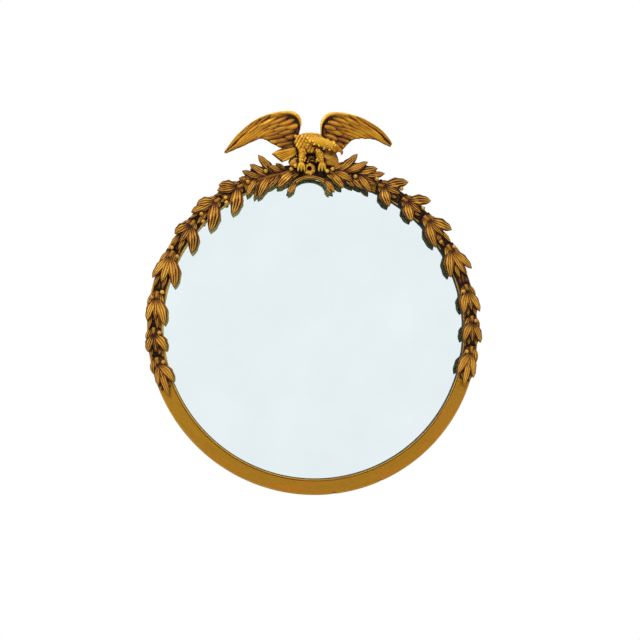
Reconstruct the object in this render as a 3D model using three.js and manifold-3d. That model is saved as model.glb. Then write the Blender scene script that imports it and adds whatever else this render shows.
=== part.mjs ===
// Round wall mirror in a gilt wooden ring, with a garland of carved leaves and an eagle crest.
// Millimetres. +Z is up, the front faces -Y. The origin is on the wall, behind the ring's centre.
import * as THREE from 'three';
import { mergeVertices } from 'three/addons/utils/BufferGeometryUtils.js';
import Module from 'manifold-3d';

const wasm = await Module();
wasm.setup();

// ---- driving dimensions -------------------------------------------------------------------
const CLEAR = 0.3;            // between pieces that touch
const WALL_GAP = 7;           // wall to the ring's back
const RING_SIGHT_R = 299;
const RING_WIDTH = 31;
const RING_DEPTH = 18;
const REBATE_WIDTH = 10;
const REBATE_DEPTH = 12.7;
const BEAD_WIDTH = 4;
const EDGE_ROUND = 3;
const GLASS_T = 4;
const GLASS_PLAY = 1;
const RING_SEGMENTS = 64;

const LEAF_T = 3.2;
const STEM_SHARE = 0.58;      // of the ring's width, where the garland's stem runs
const STEM_WIDTH = 9;
const STEM_HEIGHT = 6;
const BERRY_R = 3.8;
const TWIG_R = 1.7;

const BLOCK_HALF_ANGLE = 20.5;
const BLOCK_T = 4.4;
const TONGUE_T = 4.2;

const BUTTON_LENGTH = 34;
const BUTTON_WIDTH = 10;
const BUTTON_T = 2;
const BUTTON_ANGLES = [-150, -90, -30, 30, 90, 150];
const SCREW_R = 1.6;
const SCREW_HEAD_R = 3.5;
const SCREW_HEAD_T = 2;
const SCREW_LENGTH = 9;
const HOLE_PLAY = 0.35;

const HANGER_ANGLE = 45;
const HANGER_WIDTH = 11;
const HANGER_LENGTH = 22;
const HANGER_T = 1.2;
const LOOP_WIRE_R = 1.4;
const LOOP_WIDTH = 19;
const LOOP_REACH = 17;

const STRAP_WIDTH = 14;
const STRAP_T = 2;

const BUMPER_R = 9;
const BUMPER_ANGLE = 162;

// ---- sizes that follow --------------------------------------------------------------------
const RING_OUTER_R = RING_SIGHT_R + RING_WIDTH;
const STEM_R = RING_SIGHT_R + STEM_SHARE * RING_WIDTH;
const K = RING_WIDTH / 31;          // the carving is drawn for a ring 31 wide, and grows with it
const BACK_Y = -WALL_GAP;
const FACE_Y = BACK_Y - RING_DEPTH;
const REBATE_R = RING_SIGHT_R + REBATE_WIDTH;
const REBATE_Y = BACK_Y - REBATE_DEPTH;
const PLATE_R = REBATE_R - GLASS_PLAY;
const BOARD_T = REBATE_DEPTH - GLASS_T - 3 * CLEAR;
const LAND_R = (REBATE_R + RING_OUTER_R) / 2;
const SEAT_Y = BACK_Y + CLEAR;      // what is screwed to the back starts here
const LEAF_H = CLEAR + BLOCK_T + CLEAR;
const RISER_HALF_WIDTH = 25 * K;
const RISER_TOP = STEM_R + 33 * K;
const STRAP_TOP = RISER_TOP - 4 * K;

// ---- finishes -----------------------------------------------------------------------------
const finish = (color, metalness, roughness) => ({ color, metalness, roughness });
const GILT = finish(0xb9831f, 0.55, 0.42);
const GILT_LEAF = finish(0xa8781f, 0.5, 0.45);
const GILT_EAGLE = finish(0xcf9c22, 0.55, 0.4);
const SILVERED = finish(0xe3edef, 1, 0.03);
const BOARD = finish(0x8a6b4a, 0, 0.8);
const BRASS = finish(0xb08d4a, 1, 0.35);
const STEEL = finish(0x8d8f90, 1, 0.4);
const FELT = finish(0x3c3a36, 0, 0.95);

// ---- small helpers ------------------------------------------------------------------------
const rad = THREE.MathUtils.degToRad;
const lerp = THREE.MathUtils.lerp;
const onRing = (deg, r) => [r * Math.sin(rad(deg)), r * Math.cos(rad(deg))];
// x and z across the mirror, h out from the ring's face
const at = (x, z, h) => new THREE.Vector3(x, FACE_Y - h, z);
// the crest is drawn from the top of the stem's circle, with h from the face of its block
const crestSpot = ([x, z]) => [K * x, STEM_R + K * z];
const crest = (x, z, h) => at(...crestSpot([x, z]), LEAF_H + K * h);

function volumeOf(geometry) {
  const p = geometry.attributes.position;
  const index = geometry.index;
  const count = index ? index.count : p.count;
  const corner = (i) => new THREE.Vector3().fromBufferAttribute(p, index ? index.getX(i) : i);
  let six = 0;
  for (let i = 0; i < count; i += 3) {
    six += corner(i).dot(corner(i + 1).cross(corner(i + 2)));
  }
  return six / 6;
}

function faceOut(geometry) {
  if (volumeOf(geometry) > 0) return geometry;
  const index = geometry.index;
  for (let i = 0; i < index.count; i += 3) {
    const b = index.getX(i + 1);
    index.setX(i + 1, index.getX(i + 2));
    index.setX(i + 2, b);
  }
  return geometry;
}

function welded(geometry) {
  const bare = new THREE.BufferGeometry();
  bare.setAttribute('position', geometry.attributes.position.clone());
  if (geometry.index) bare.setIndex(geometry.index.clone());
  return faceOut(mergeVertices(bare, 1e-4));
}

function solid(geometry) {
  const g = welded(geometry);
  const mesh = new wasm.Mesh({
    numProp: 3,
    vertProperties: Float32Array.from(g.attributes.position.array),
    triVerts: Uint32Array.from(g.index.array),
  });
  mesh.merge();
  return new wasm.Manifold(mesh);
}

const join = (parts) => parts.map(solid).reduce((a, b) => a.add(b));
const cut = (body, tools) => tools.map(solid).reduce((a, b) => a.subtract(b), body);

function shape(manifold) {
  const mesh = manifold.getMesh();
  const g = new THREE.BufferGeometry();
  g.setAttribute('position', new THREE.BufferAttribute(Float32Array.from(mesh.vertProperties), 3));
  g.setIndex(new THREE.BufferAttribute(Uint32Array.from(mesh.triVerts), 1));
  return g;
}

// skin over a row of equal closed outlines, capped at both ends unless it closes on itself;
// a tip point takes the place of the last cap's middle
function skin(rings, endless = false, tip = null) {
  const n = rings[0].length;
  const rows = rings.length;
  const pos = rings.flat().flatMap((p) => [p.x, p.y, p.z]);
  const tri = [];
  const lastRow = endless ? rows : rows - 1;
  for (let i = 0; i < lastRow; i++) {
    for (let j = 0; j < n; j++) {
      const k = (j + 1) % n;
      const up = ((i + 1) % rows) * n;
      tri.push(i * n + j, up + j, i * n + k, i * n + k, up + j, up + k);
    }
  }
  const cap = (row, turn, middle) => {
    const c = middle ?? new THREE.Vector3();
    if (!middle) rings[row].forEach((p) => c.addScaledVector(p, 1 / n));
    const hub = pos.length / 3;
    pos.push(c.x, c.y, c.z);
    for (let j = 0; j < n; j++) {
      const pair = [row * n + j, row * n + ((j + 1) % n)];
      if (turn) pair.reverse();
      tri.push(hub, ...pair);
    }
  };
  if (!endless) {
    cap(0, false, null);
    cap(rows - 1, true, tip);
  }
  const g = new THREE.BufferGeometry();
  g.setAttribute('position', new THREE.Float32BufferAttribute(pos, 3));
  g.setIndex(tri);
  return faceOut(g);
}

const smooth = (knots, count) => new THREE.CatmullRomCurve3(knots).getPoints(count);

// round bar through the points, its radius following the given values
function bar(points, radii, sides = 8, endless = false) {
  const line = new THREE.CatmullRomCurve3(points, endless);
  const rows = endless ? points.length : points.length - 1;
  const rings = [];
  for (let i = 0; i < (endless ? rows : rows + 1); i++) {
    const along = line.getTangent(i / rows).normalize();
    const side = new THREE.Vector3(0, 1, 0).cross(along);
    if (side.length() < 0.1) side.set(1, 0, 0);
    side.normalize();
    const up = along.clone().cross(side).normalize();
    const r = Array.isArray(radii) ? radii[i] : radii;
    const ring = [];
    for (let j = 0; j < sides; j++) {
      const a = (2 * Math.PI * j) / sides;
      ring.push(points[i].clone()
        .addScaledVector(side, r * Math.cos(a))
        .addScaledVector(up, r * Math.sin(a)));
    }
    rings.push(ring);
  }
  return skin(rings, endless);
}

// round pin along Y from yFrom to yTo
function pin(x, z, r, yFrom, yTo, sides = 12) {
  const g = new THREE.CylinderGeometry(r, r, Math.abs(yTo - yFrom), sides);
  return g.translate(x, (yFrom + yTo) / 2, z);
}

function box(width, depth, height, x, y, z) {
  return new THREE.BoxGeometry(width, depth, height).translate(x, y, z);
}

function disc(r, t, yFront) {
  return new THREE.CylinderGeometry(r, r, t, RING_SEGMENTS).translate(0, yFront + t / 2, 0);
}

// ---- ring, glass and board ----------------------------------------------------------------
function screwSeats() {
  const seats = BUTTON_ANGLES.map((a) => onRing(a, LAND_R));
  const hanger = onRing(HANGER_ANGLE, LAND_R);
  seats.push(hanger, [-hanger[0], hanger[1]], [0, LAND_R]);
  return seats;
}

const seatHole = ([x, z]) => {
  return pin(x, z, SCREW_R + HOLE_PLAY, BACK_Y - SCREW_LENGTH, BACK_Y + 1, 8);
};

function frameRing() {
  const profile = [
    [RING_SIGHT_R, REBATE_Y],
    [RING_SIGHT_R, FACE_Y + 2.4],
    [RING_SIGHT_R + BEAD_WIDTH * 0.35, FACE_Y + 0.6],
    [RING_SIGHT_R + BEAD_WIDTH * 0.75, FACE_Y + 0.6],
    [RING_SIGHT_R + BEAD_WIDTH, FACE_Y + 1.2],
    [RING_SIGHT_R + BEAD_WIDTH * 1.3, FACE_Y],
    [RING_OUTER_R - EDGE_ROUND, FACE_Y],
    [RING_OUTER_R - EDGE_ROUND * 0.3, FACE_Y + EDGE_ROUND * 0.3],
    [RING_OUTER_R, FACE_Y + EDGE_ROUND],
    [RING_OUTER_R, BACK_Y],
    [REBATE_R, BACK_Y],
    [REBATE_R, REBATE_Y],
    [RING_SIGHT_R, REBATE_Y],
  ];
  const turned = new THREE.LatheGeometry(profile.map((p) => new THREE.Vector2(...p)), RING_SEGMENTS);
  return shape(cut(solid(turned), screwSeats().map(seatHole)));
}

const mirrorPlate = () => disc(PLATE_R, GLASS_T, REBATE_Y + CLEAR);
const backboard = () => disc(PLATE_R, BOARD_T, REBATE_Y + CLEAR + GLASS_T + CLEAR);

// ---- carved leaves ------------------------------------------------------------------------
// A leaf from its base to its tip: w half width, bow sideways bend, h heights over the floor at
// base, middle and tip. It is widest past its middle and runs out to a point.
function leaf(base, tip, w, h, { bow = 0, floor = CLEAR, grow = 0 } = {}) {
  const along = new THREE.Vector2(tip[0] - base[0], tip[1] - base[1]);
  const across = new THREE.Vector2(-along.y, along.x).normalize();
  const rings = [];
  for (const t of [0, 0.32, 0.72]) {
    const bend = K * bow * 4 * t * (1 - t);
    const x = base[0] + along.x * t + across.x * bend;
    const z = base[1] + along.y * t + across.y * bend;
    const top = floor + K * (h[0] * (1 - t) ** 2 + 2 * h[1] * t * (1 - t) + h[2] * t * t);
    const half = K * w * 2.4 * (t + 0.1) ** 0.9 * (1 - t) ** 0.62 + grow;
    const swell = Math.min(2.2, half * 0.25);
    const outline = [[-1, -0.6], [-0.5, swell], [0, 0], [0.5, swell], [1, -0.6]]
      .map(([s, rise]) => [s, top + rise + grow]);
    outline.push([0.75, top - LEAF_T - grow], [-0.75, top - LEAF_T - grow]);
    rings.push(outline.map(([s, height]) => at(
      x + across.x * half * s,
      z + across.y * half * s,
      Math.max(floor, height),
    )));
  }
  const past = 1 + grow / along.length();
  const end = at(base[0] + along.x * past, base[1] + along.y * past, floor + K * h[2] - LEAF_T / 2);
  return skin(rings, false, end);
}

// half-round stem on the ring's circle between two angles
function stem(from, to, r = STEM_R, floor = CLEAR, rise = STEM_HEIGHT, width = STEM_WIDTH) {
  const rings = [];
  for (let i = 0; i <= 2; i++) {
    const slim = 1 - 0.35 * (i / 2);
    const ring = [[-0.5, 0], [-0.4, 0.7], [0, 1], [0.4, 0.7], [0.5, 0]].map(([s, up]) => {
      const [x, z] = onRing(lerp(from, to, i / 2), r + s * width * slim);
      return at(x, z, floor + up * rise * slim);
    });
    rings.push(ring);
  }
  return skin(rings);
}

function berry([x, z], h, foot, floor = CLEAR) {
  const middle = floor + K * h;
  const ball = new THREE.SphereGeometry(BERRY_R, 7, 4).translate(x, FACE_Y - middle, z);
  const root = floor + TWIG_R * 1.3;
  const twig = bar([at(foot[0], foot[1], root), at(x, z, Math.max(root, middle - BERRY_R / 2))], TWIG_R, 4);
  return [ball, twig];
}

// one garland spray; each leaf is [tip angle, tip's distance out from the stem, half width, bow]
function spray({ side, from, inner, outer, centre = [], berries = [] }) {
  const tipOf = ([a, out]) => onRing(side * a, STEM_R + K * out);
  const root = onRing(side * (from + 1.2), STEM_R);
  const ends = [...inner, ...outer].map(([a]) => a);
  const reach = from + (Math.max(...ends) - from) * 0.55;
  const parts = [stem(side * from, side * reach)];
  inner.forEach((l) => parts.push(leaf(root, tipOf(l), l[2], [5, 10, 9], { bow: -side * l[3] })));
  outer.forEach((l) => parts.push(leaf(root, tipOf(l), l[2], [5, 9, 10], { bow: side * l[3] })));
  centre.forEach((l) => parts.push(leaf(root, tipOf(l), l[2], [5, 9, 7], { bow: side * l[3] })));
  berries.forEach(([a, out]) => {
    const footAngle = THREE.MathUtils.clamp(a, from + 0.6, reach - 0.6);
    parts.push(...berry(tipOf([a, out]), 6, onRing(side * footAngle, STEM_R)));
  });
  return shape(join(parts));
}

// the seven sprays down each side: angles from the top in degrees
const LEFT_SPRAYS = [
  { from: 26.6, inner: [[35.2, -42, 11, 3]], outer: [[33.1, 22, 8, 2], [34.6, 15, 7, 1]],
    berries: [[34, -8], [34.9, -19]] },
  { from: 36.4, inner: [[46.8, -37, 11, 3]], outer: [[43.1, 19, 8, 2], [46.4, 15, 7, 1]],
    berries: [[44.2, -1], [45.8, -14]] },
  { from: 48.6, inner: [[58.6, -35, 10, 4]], outer: [[55.6, 14, 8, 2]], centre: [[57, -4, 7, 0]],
    berries: [[60.2, 5], [62.2, -13]] },
  { from: 61.9, inner: [[73.8, -30, 10, 4]], outer: [[72.4, 16, 8, 2]], centre: [[73, -3, 8, 0]],
    berries: [[76.4, -9]] },
  { from: 77.4, inner: [[88.5, -21, 9, 3]], outer: [[87, 12, 8, 2]], centre: [[86.4, -3, 6, 0]],
    berries: [[78.8, 8]] },
  { from: 90.2, inner: [[98.1, -21, 9, 3]], outer: [[97.4, 14, 8, 2]], centre: [[97.6, -2, 6, 0]],
    berries: [[91.2, -11]] },
  { from: 100.6, inner: [[109.8, -19, 8, 3]], outer: [[109.2, 11, 6, 1]],
    centre: [[113.6, 0, 7, 0]], berries: [[101.8, -11]] },
];
const RIGHT_SPRAYS = [
  { from: 26.9, inner: [[33.8, -32, 10, 3]], outer: [[35, 34, 9, 2]], centre: [[34.6, 4, 7, 0]],
    berries: [[34.2, 18]] },
  { from: 37.3, inner: [[44.8, -28, 10, 3]], outer: [[44.9, 32, 9, 2]], centre: [[45, -1, 7, 0]],
    berries: [[44.6, 13]] },
  { from: 47.8, inner: [[59.2, -25, 9, 4]], outer: [[57, 24, 9, 2]], centre: [[57, 3, 6, 0]],
    berries: [[58.4, -9]] },
  { from: 61.6, inner: [[72.6, -26, 9, 4]], outer: [[72.1, 22, 9, 2]], centre: [[73, 5, 7, 0]],
    berries: [[62.4, 12]] },
  { from: 77.8, inner: [[87.6, -18, 9, 3]], outer: [[87.4, 17, 8, 2]], centre: [[86.6, 0, 6, 0]],
    berries: [[79.2, -9]] },
  { from: 89.6, inner: [[98.6, -19, 8, 3]], outer: [[98.4, 16, 8, 2]], centre: [[98.2, -1, 6, 0]],
    berries: [[90.6, 10]] },
  { from: 100.9, inner: [[111.4, -19, 8, 3]], outer: [[111, 14, 7, 1]],
    centre: [[115.2, 1, 7, 0]], berries: [[102.2, -10]] },
];

// ---- crest --------------------------------------------------------------------------------
const arcPoint = (t, out = 0) => [
  -2 + (42 + out) * Math.sin(rad(84 * t)),
  -52 + (34.5 + out) * Math.cos(rad(84 * t)),
];

function archMoulding(grow = 0) {
  const rings = [];
  for (let i = 0; i <= 12; i++) {
    const t = lerp(-1, 1, i / 12);
    const wide = 3.4 + 2.6 * t * t + grow;
    const lift = 4.5 + 1.5 * (1 - t * t);
    const thick = 5.5 + 3 * t * t + grow;
    const outline = [[-1, -3], [-0.8, 0], [-0.35, 1], [0, -0.6], [0.35, 1], [0.8, 0], [1, -3]]
      .map(([s, up]) => [s, lift + up + grow]);
    outline.push([0.9, lift - thick], [-0.9, lift - thick]);
    rings.push(outline.map(([s, h]) => {
      const [x, z] = arcPoint(t, s * wide);
      return crest(x, z, h);
    }));
  }
  return skin(rings);
}

const tongue = (grow = 0) => {
  const high = 31 * K + 2 * grow;
  const [x, z] = crestSpot([-3, -1.5]);
  return box(28 * K + 2 * grow, TONGUE_T + 2 * grow, high, x, FACE_Y - LEAF_H - TONGUE_T / 2, z);
};

// the leaf that the moulding's right end curls out of
const archLeaf = (grow = 0) => {
  return leaf(crestSpot([26, -25]), crestSpot([47, -50]), 6, [6, 8, 5], { bow: 1, floor: LEAF_H, grow });
};

const ROSETTE_AT = crestSpot([-3, -2]);
const ROSETTE_R = 12.5 * K;

function rosette(grow = 0) {
  const from = FACE_Y - LEAF_H - TONGUE_T - CLEAR;
  const rings = [];
  const petal = (a) => 1 + 0.12 * Math.cos(7 * a);
  const courses = [[0.72, 0], [1, 1.5], [0.98, 4.5], [0.7, 7], [0.45, 6.2], [0.38, 2.2]];
  courses.forEach(([f, h]) => {
    const ring = [];
    for (let j = 0; j < 21; j++) {
      const a = (2 * Math.PI * j) / 21;
      const r = (ROSETTE_R + grow) * f * petal(a);
      ring.push(new THREE.Vector3(
        ROSETTE_AT[0] + r * Math.cos(a),
        from - K * h - (h > 0 ? grow : -grow),
        ROSETTE_AT[1] + r * Math.sin(a),
      ));
    }
    rings.push(ring);
  });
  return skin(rings);
}

function crestBlock() {
  const slab = (from, to, rIn, rOut, hLow, hHigh) => {
    const rings = [];
    for (let i = 0; i <= 10; i++) {
      const a = lerp(from, to, i / 10);
      const corner = (r, h) => at(...onRing(a, r), h);
      rings.push([corner(rIn, hLow), corner(rOut, hLow), corner(rOut, hHigh), corner(rIn, hHigh)]);
    }
    return skin(rings);
  };
  const top = CLEAR + BLOCK_T;
  const core = slab(-BLOCK_HALF_ANGLE, BLOCK_HALF_ANGLE, RING_SIGHT_R + 3, RING_OUTER_R - 1, CLEAR, top);
  const foot = RING_OUTER_R + CLEAR;
  const riser = box(2 * RISER_HALF_WIDTH, RING_DEPTH + top, RISER_TOP - foot,
    0, (BACK_Y + FACE_Y - top) / 2, (RISER_TOP + foot) / 2);
  const lap = box(2 * RISER_HALF_WIDTH, BLOCK_T, 24 * K, 0, FACE_Y - CLEAR - BLOCK_T / 2, RING_OUTER_R);
  const holes = strapSeats().slice(1).map(seatHole);
  return shape(cut(join([core, riser, lap]), holes));
}

const strapSeats = () => [[0, LAND_R], [0, STRAP_TOP - 6]];

// leaves of the crest: base, tip, half width, heights at base, middle, tip, bow
const CREST_LEFT = [
  [[-68, -12], [-105, 28], 9, [3, 8, 8], 2],
  [[-82, -15], [-122, 9], 9, [3, 8, 7], 2],
  [[-96, -19], [-138, -4], 8, [3, 7, 6], 2],
  [[-110, -21], [-145, -19], 7, [3, 6, 4], 1],
  [[-58, -7], [-86, 4], 6, [5, 14, 11], 0],
  [[-60, -12], [-76, -33], 7, [3, 7, 5], -1],
  [[-34, -7], [-68, -38], 11, [4, 9, 5], -2],
  [[-82, -14], [-107, -59], 10, [3, 9, 6], -2],
  [[-98, -18], [-115, -60], 6, [3, 6, 3], -1],
  [[-108, -19], [-129, -55], 8, [3, 7, 4], -2],
];
const CREST_RIGHT = [
  [[52, -7], [98, 30], 9, [3, 9, 8], -3],
  [[70, -8], [118, 12], 8, [5, 15, 11], -2],
  [[88, -7], [138, -1], 11, [3, 8, 7], -2],
  [[104, -13], [153, -11], 8, [3, 7, 5], -2],
  [[94, -13], [121, -51], 9, [3, 9, 6], 2],
  [[40, -9], [65, -41], 9, [3, 8, 5], 1],
  [[48, -8], [86, -28], 10, [4, 9, 5], 2],
];

function crestLeaves(side, leaves, berries, keepOut) {
  const floor = LEAF_H;
  const stemR = STEM_R - 5 * K;
  const parts = [stem(side * 6, side * 22.5, stemR, floor, 7 * K, 14 * K)];
  leaves.forEach(([base, tip, w, h, bow]) => {
    parts.push(leaf(crestSpot(base), crestSpot(tip), w, h, { bow, floor }));
  });
  berries.forEach(([x, z, h]) => {
    const spot = crestSpot([x, z]);
    const angle = THREE.MathUtils.radToDeg(Math.atan2(side * spot[0], spot[1]));
    const foot = THREE.MathUtils.clamp(angle, 6.6, 21.9);
    parts.push(...berry(spot, h, onRing(side * foot, stemR), floor));
  });
  return shape(cut(join(parts), keepOut));
}

function perch(keepOut) {
  const outline = (f, h) => [
    [-40, 5], [-22, 8], [0, 14], [26, 9], [50, 5], [60, 13], [60, 29],
    [48, 31.2], [32, 33], [14, 30], [-10, 28], [-32, 26], [-44, 16],
  ].map(([x, z]) => crest(lerp(5, x, f), lerp(17, z, f), h));
  const mound = skin([outline(1, 0), outline(1, 4), outline(0.8, 9)]);
  return shape(cut(solid(mound), keepOut));
}

// ---- eagle --------------------------------------------------------------------------------
function ovalRing(x, z, h, halfWide, halfDeep, sides = 12) {
  const ring = [];
  for (let j = 0; j < sides; j++) {
    const a = (2 * Math.PI * j) / sides;
    ring.push(crest(x + halfWide * Math.cos(a), z, h + halfDeep * Math.sin(a)));
  }
  return ring;
}

const thick = (radii, grow) => radii.map((r) => K * r + grow);

function eagleBody(grow = 0) {
  const sections = [[28.5, 0, 12, 6], [32, 0, 19, 9], [39, 1, 26, 12], [48, 2, 29, 14],
    [57, 2, 28, 14], [64, 2, 24, 12], [69, 2, 19, 9], [71.5, 2, 11, 5]];
  const trunk = skin(sections.map(([z, x, wide, deep], i) => {
    const end = i === 0 ? -grow : (i === sections.length - 1 ? grow : 0);
    return ovalRing(x, z + end, 11, wide + grow, deep + grow);
  }));
  const neckLine = smooth([crest(0, 52, 15), crest(20, 48, 22), crest(38, 42, 24), crest(50, 37, 23)], 6);
  const neck = bar(neckLine, thick([14, 13, 11.5, 10, 9, 8.5, 8], grow), 10);
  const head = new THREE.IcosahedronGeometry(9 * K + grow, 1).translate(...crest(52, 35, 23).toArray());
  const beakLine = [crest(55, 34, 24), crest(61, 30, 26), crest(63.5, 25, 26), crest(62, 21, 25)];
  const beak = bar(beakLine, thick([5, 4, 2.6, 0.8], grow), 8);
  return join([trunk, neck, head, beak]);
}

function eagleLeg(x, lean, grow = 0) {
  const thigh = bar(
    [[-0.6, 36, 17], [-0.2, 25, 17], [0.3, 14, 16], [0.4, 9, 15]].map(([f, z, h]) => crest(x + lean * f, z, h)),
    thick([7, 6.5, 4.6, 4.2], grow),
    7,
  );
  const foot = x + lean * 0.4;
  const toes = [-6.5, 0, 6.5].map((spread) => bar(
    [crest(foot, 10, 15), crest(foot + spread * 0.8, 0, 15.5), crest(foot + spread, -8, 11.5)],
    thick([3.4, 2.8, 1], grow),
    5,
  ));
  return join([thigh, ...toes]);
}

// a wing from root to tip: leading edge, trailing edge, their heights
const WING_LEFT = [
  [-22, 68, -30, 36, 7, 7], [-15, 92, -46, 34, 13, 8], [-20, 108, -60, 43, 18, 7],
  [-36, 117, -75, 51, 17, 5], [-60, 116, -90, 61, 15, 4], [-85, 111, -104, 65, 12, 3],
  [-110, 100, -120, 64, 9, 2], [-134, 82, -135, 53, 6, 1], [-152, 64, -149, 44, 3.5, 0],
  [-167, 44, -165, 37, 1.5, -0.5], [-172, 37, -171, 34, 0.5, -0.5],
];
const WING_RIGHT = [
  [24, 69, 34.4, 33.4, 7.2, 7], [24, 92, 50, 32, 11, 8], [30, 105, 66, 37, 16, 7],
  [44, 114, 78, 49, 17, 6], [66, 115.5, 90, 60, 15, 4], [88, 113, 104, 64, 12, 3],
  [110, 107, 120, 64, 9, 2], [134, 95, 137, 63, 6, 1], [153, 81, 152, 58, 4, 0.5],
  [168, 63, 165, 50, 2, 0], [173, 54, 170, 48, 1, -0.5],
];

function wing(stations, keepOut) {
  const edge = (i) => new THREE.CatmullRomCurve3(
    stations.map((s) => crest(s[2 * i], s[2 * i + 1], s[4 + i])),
  ).getPoints(15);
  const lead = edge(0);
  const trail = edge(1);
  // across the wing: share of the chord, height over it, depth under it
  const section = [[0, 0], [0.05, 1.6], [0.12, 1.2], [0.17, -1.8], [0.42, 0.4], [0.72, -1], [1, 0],
    [1, -4], [0.5, -6.5], [0.06, -7.5], [-0.02, -4]];
  const rings = lead.map((p, i) => {
    const q = trail[i];
    const slim = K * Math.min(1, 0.3 + p.distanceTo(q) / (40 * K));
    return section.map(([s, rise]) => p.clone().lerp(q, s).add(new THREE.Vector3(0, -rise * slim, 0)));
  });
  return shape(cut(solid(skin(rings)), keepOut));
}

function eagleTail(keepOut, grow = 0) {
  const station = (upper, lower, h, t) => [
    crest(...upper, h), crest(lerp(upper[0], lower[0], 0.5), lerp(upper[1], lower[1], 0.5), h + 1.5 + grow),
    crest(...lower, h), crest(...lower, h - t - grow), crest(...upper, h - t - grow),
  ];
  const fan = skin([
    station([-22, 46 + grow], [-22, 31 - grow], 9, 6),
    station([-42, 45 + grow], [-34, 25.5 - grow], 10.5, 6),
    station([-60, 40 + grow], [-46, 19 - grow], 11, 6),
    station([-78 - grow, 30 + grow], [-57 - grow, 12 - grow], 11, 5.5),
  ]);
  return keepOut ? shape(cut(solid(fan), keepOut)) : fan;
}

// ---- hardware on the back -----------------------------------------------------------------
function screw(x, z, headY) {
  const head = pin(x, z, SCREW_HEAD_R, headY, headY + SCREW_HEAD_T, 10);
  const shank = pin(x, z, SCREW_R, BACK_Y - SCREW_LENGTH + 1, headY + 0.5, 6);
  return shape(join([head, shank]));
}

const screwHole = (x, z, y, t) => pin(x, z, SCREW_R + HOLE_PLAY, y - 1, y + t + 1, 8);

// flat oblong plate with round ends, lying in the XZ plane from y to y + t
function oblong(length, width, y, t) {
  const r = width / 2;
  const outline = new THREE.Shape();
  outline.absarc(length - 2 * r, 0, r, -Math.PI / 2, Math.PI / 2, false);
  outline.absarc(0, 0, r, Math.PI / 2, (3 * Math.PI) / 2, false);
  const g = new THREE.ExtrudeGeometry(outline, { depth: t, bevelEnabled: false, curveSegments: 5 });
  return g.rotateX(Math.PI / 2).translate(0, y + t, 0);
}

function turnButton(angle) {
  const [x, z] = onRing(angle, LAND_R);
  const plate = oblong(BUTTON_LENGTH, BUTTON_WIDTH, SEAT_Y, BUTTON_T);
  plate.rotateY(rad(angle + 90));
  plate.translate(x, 0, z);
  return shape(cut(solid(plate), [screwHole(x, z, SEAT_Y, BUTTON_T)]));
}

const hangerSeat = (side) => {
  const [x, z] = onRing(side * HANGER_ANGLE, LAND_R);
  return { x, z, barX: x - side * (HANGER_LENGTH - 8), barY: SEAT_Y + HANGER_T + LOOP_WIRE_R + CLEAR };
};

function hangerStrap(side) {
  const { x, z, barX, barY } = hangerSeat(side);
  const tail = x + side * 8;
  const plate = box(Math.abs(tail - barX), HANGER_T, HANGER_WIDTH, (tail + barX) / 2, SEAT_Y + HANGER_T / 2, z);
  const eyeR = LOOP_WIRE_R + CLEAR + HANGER_T;
  const tube = (r, long) => new THREE.CylinderGeometry(r, r, long, 12)
    .rotateX(Math.PI / 2).translate(barX, barY, z);
  const strap = join([plate, tube(eyeR, HANGER_WIDTH)]);
  return shape(cut(strap, [tube(LOOP_WIRE_R + CLEAR, HANGER_WIDTH + 2), screwHole(x, z, SEAT_Y, HANGER_T)]));
}

function hangerRing(side) {
  const { z, barX, barY } = hangerSeat(side);
  const half = LOOP_WIDTH / 2;
  const loop = [];
  [-0.6, 0, 0.6].forEach((f) => loop.push(new THREE.Vector3(barX, barY, z + half * f)));
  for (let i = 0; i <= 10; i++) {
    const a = lerp(90, -90, i / 10);
    const out = (LOOP_REACH - 3) * Math.cos(rad(a)) + 3 * (Math.abs(a) < 89 ? 1 : 0.4);
    loop.push(new THREE.Vector3(barX - side * out, barY, z + half * Math.sin(rad(a))));
  }
  return bar(loop, LOOP_WIRE_R, 6, true);
}

function crestStrap() {
  const low = LAND_R - 6;
  const plate = box(STRAP_WIDTH, STRAP_T, STRAP_TOP - low, 0, SEAT_Y + STRAP_T / 2, (STRAP_TOP + low) / 2);
  return shape(cut(solid(plate), strapSeats().map(([x, z]) => screwHole(x, z, SEAT_Y, STRAP_T))));
}

function wallBumper(side) {
  const [x, z] = onRing(side * BUMPER_ANGLE, LAND_R);
  return pin(x, z, BUMPER_R, SEAT_Y, 0, 24);
}

// ---- assembly -----------------------------------------------------------------------------
const mirror = new THREE.Group();
mirror.name = 'round_eagle_mirror';

function add(name, geometry, look) {
  const mesh = new THREE.Mesh(welded(geometry), new THREE.MeshStandardMaterial(look));
  mesh.name = name;
  mirror.add(mesh);
}

add('frame_ring', frameRing(), GILT);
add('mirror_plate', mirrorPlate(), SILVERED);
add('backboard', backboard(), BOARD);

LEFT_SPRAYS.forEach((s, i) => add(`left_spray_${i + 1}`, spray({ side: -1, ...s }), GILT_LEAF));
RIGHT_SPRAYS.forEach((s, i) => add(`right_spray_${i + 1}`, spray({ side: 1, ...s }), GILT_LEAF));

const grown = (manifold) => shape(manifold);
const legRooms = [grown(eagleLeg(-18, -4, CLEAR)), grown(eagleLeg(19, 8, CLEAR))];
const bodyRoom = grown(eagleBody(CLEAR));
const tailRoom = eagleTail(null, CLEAR);
const crestRooms = [archMoulding(CLEAR), archLeaf(CLEAR), tongue(CLEAR), rosette(CLEAR),
  ...legRooms, tailRoom, bodyRoom];

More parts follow.
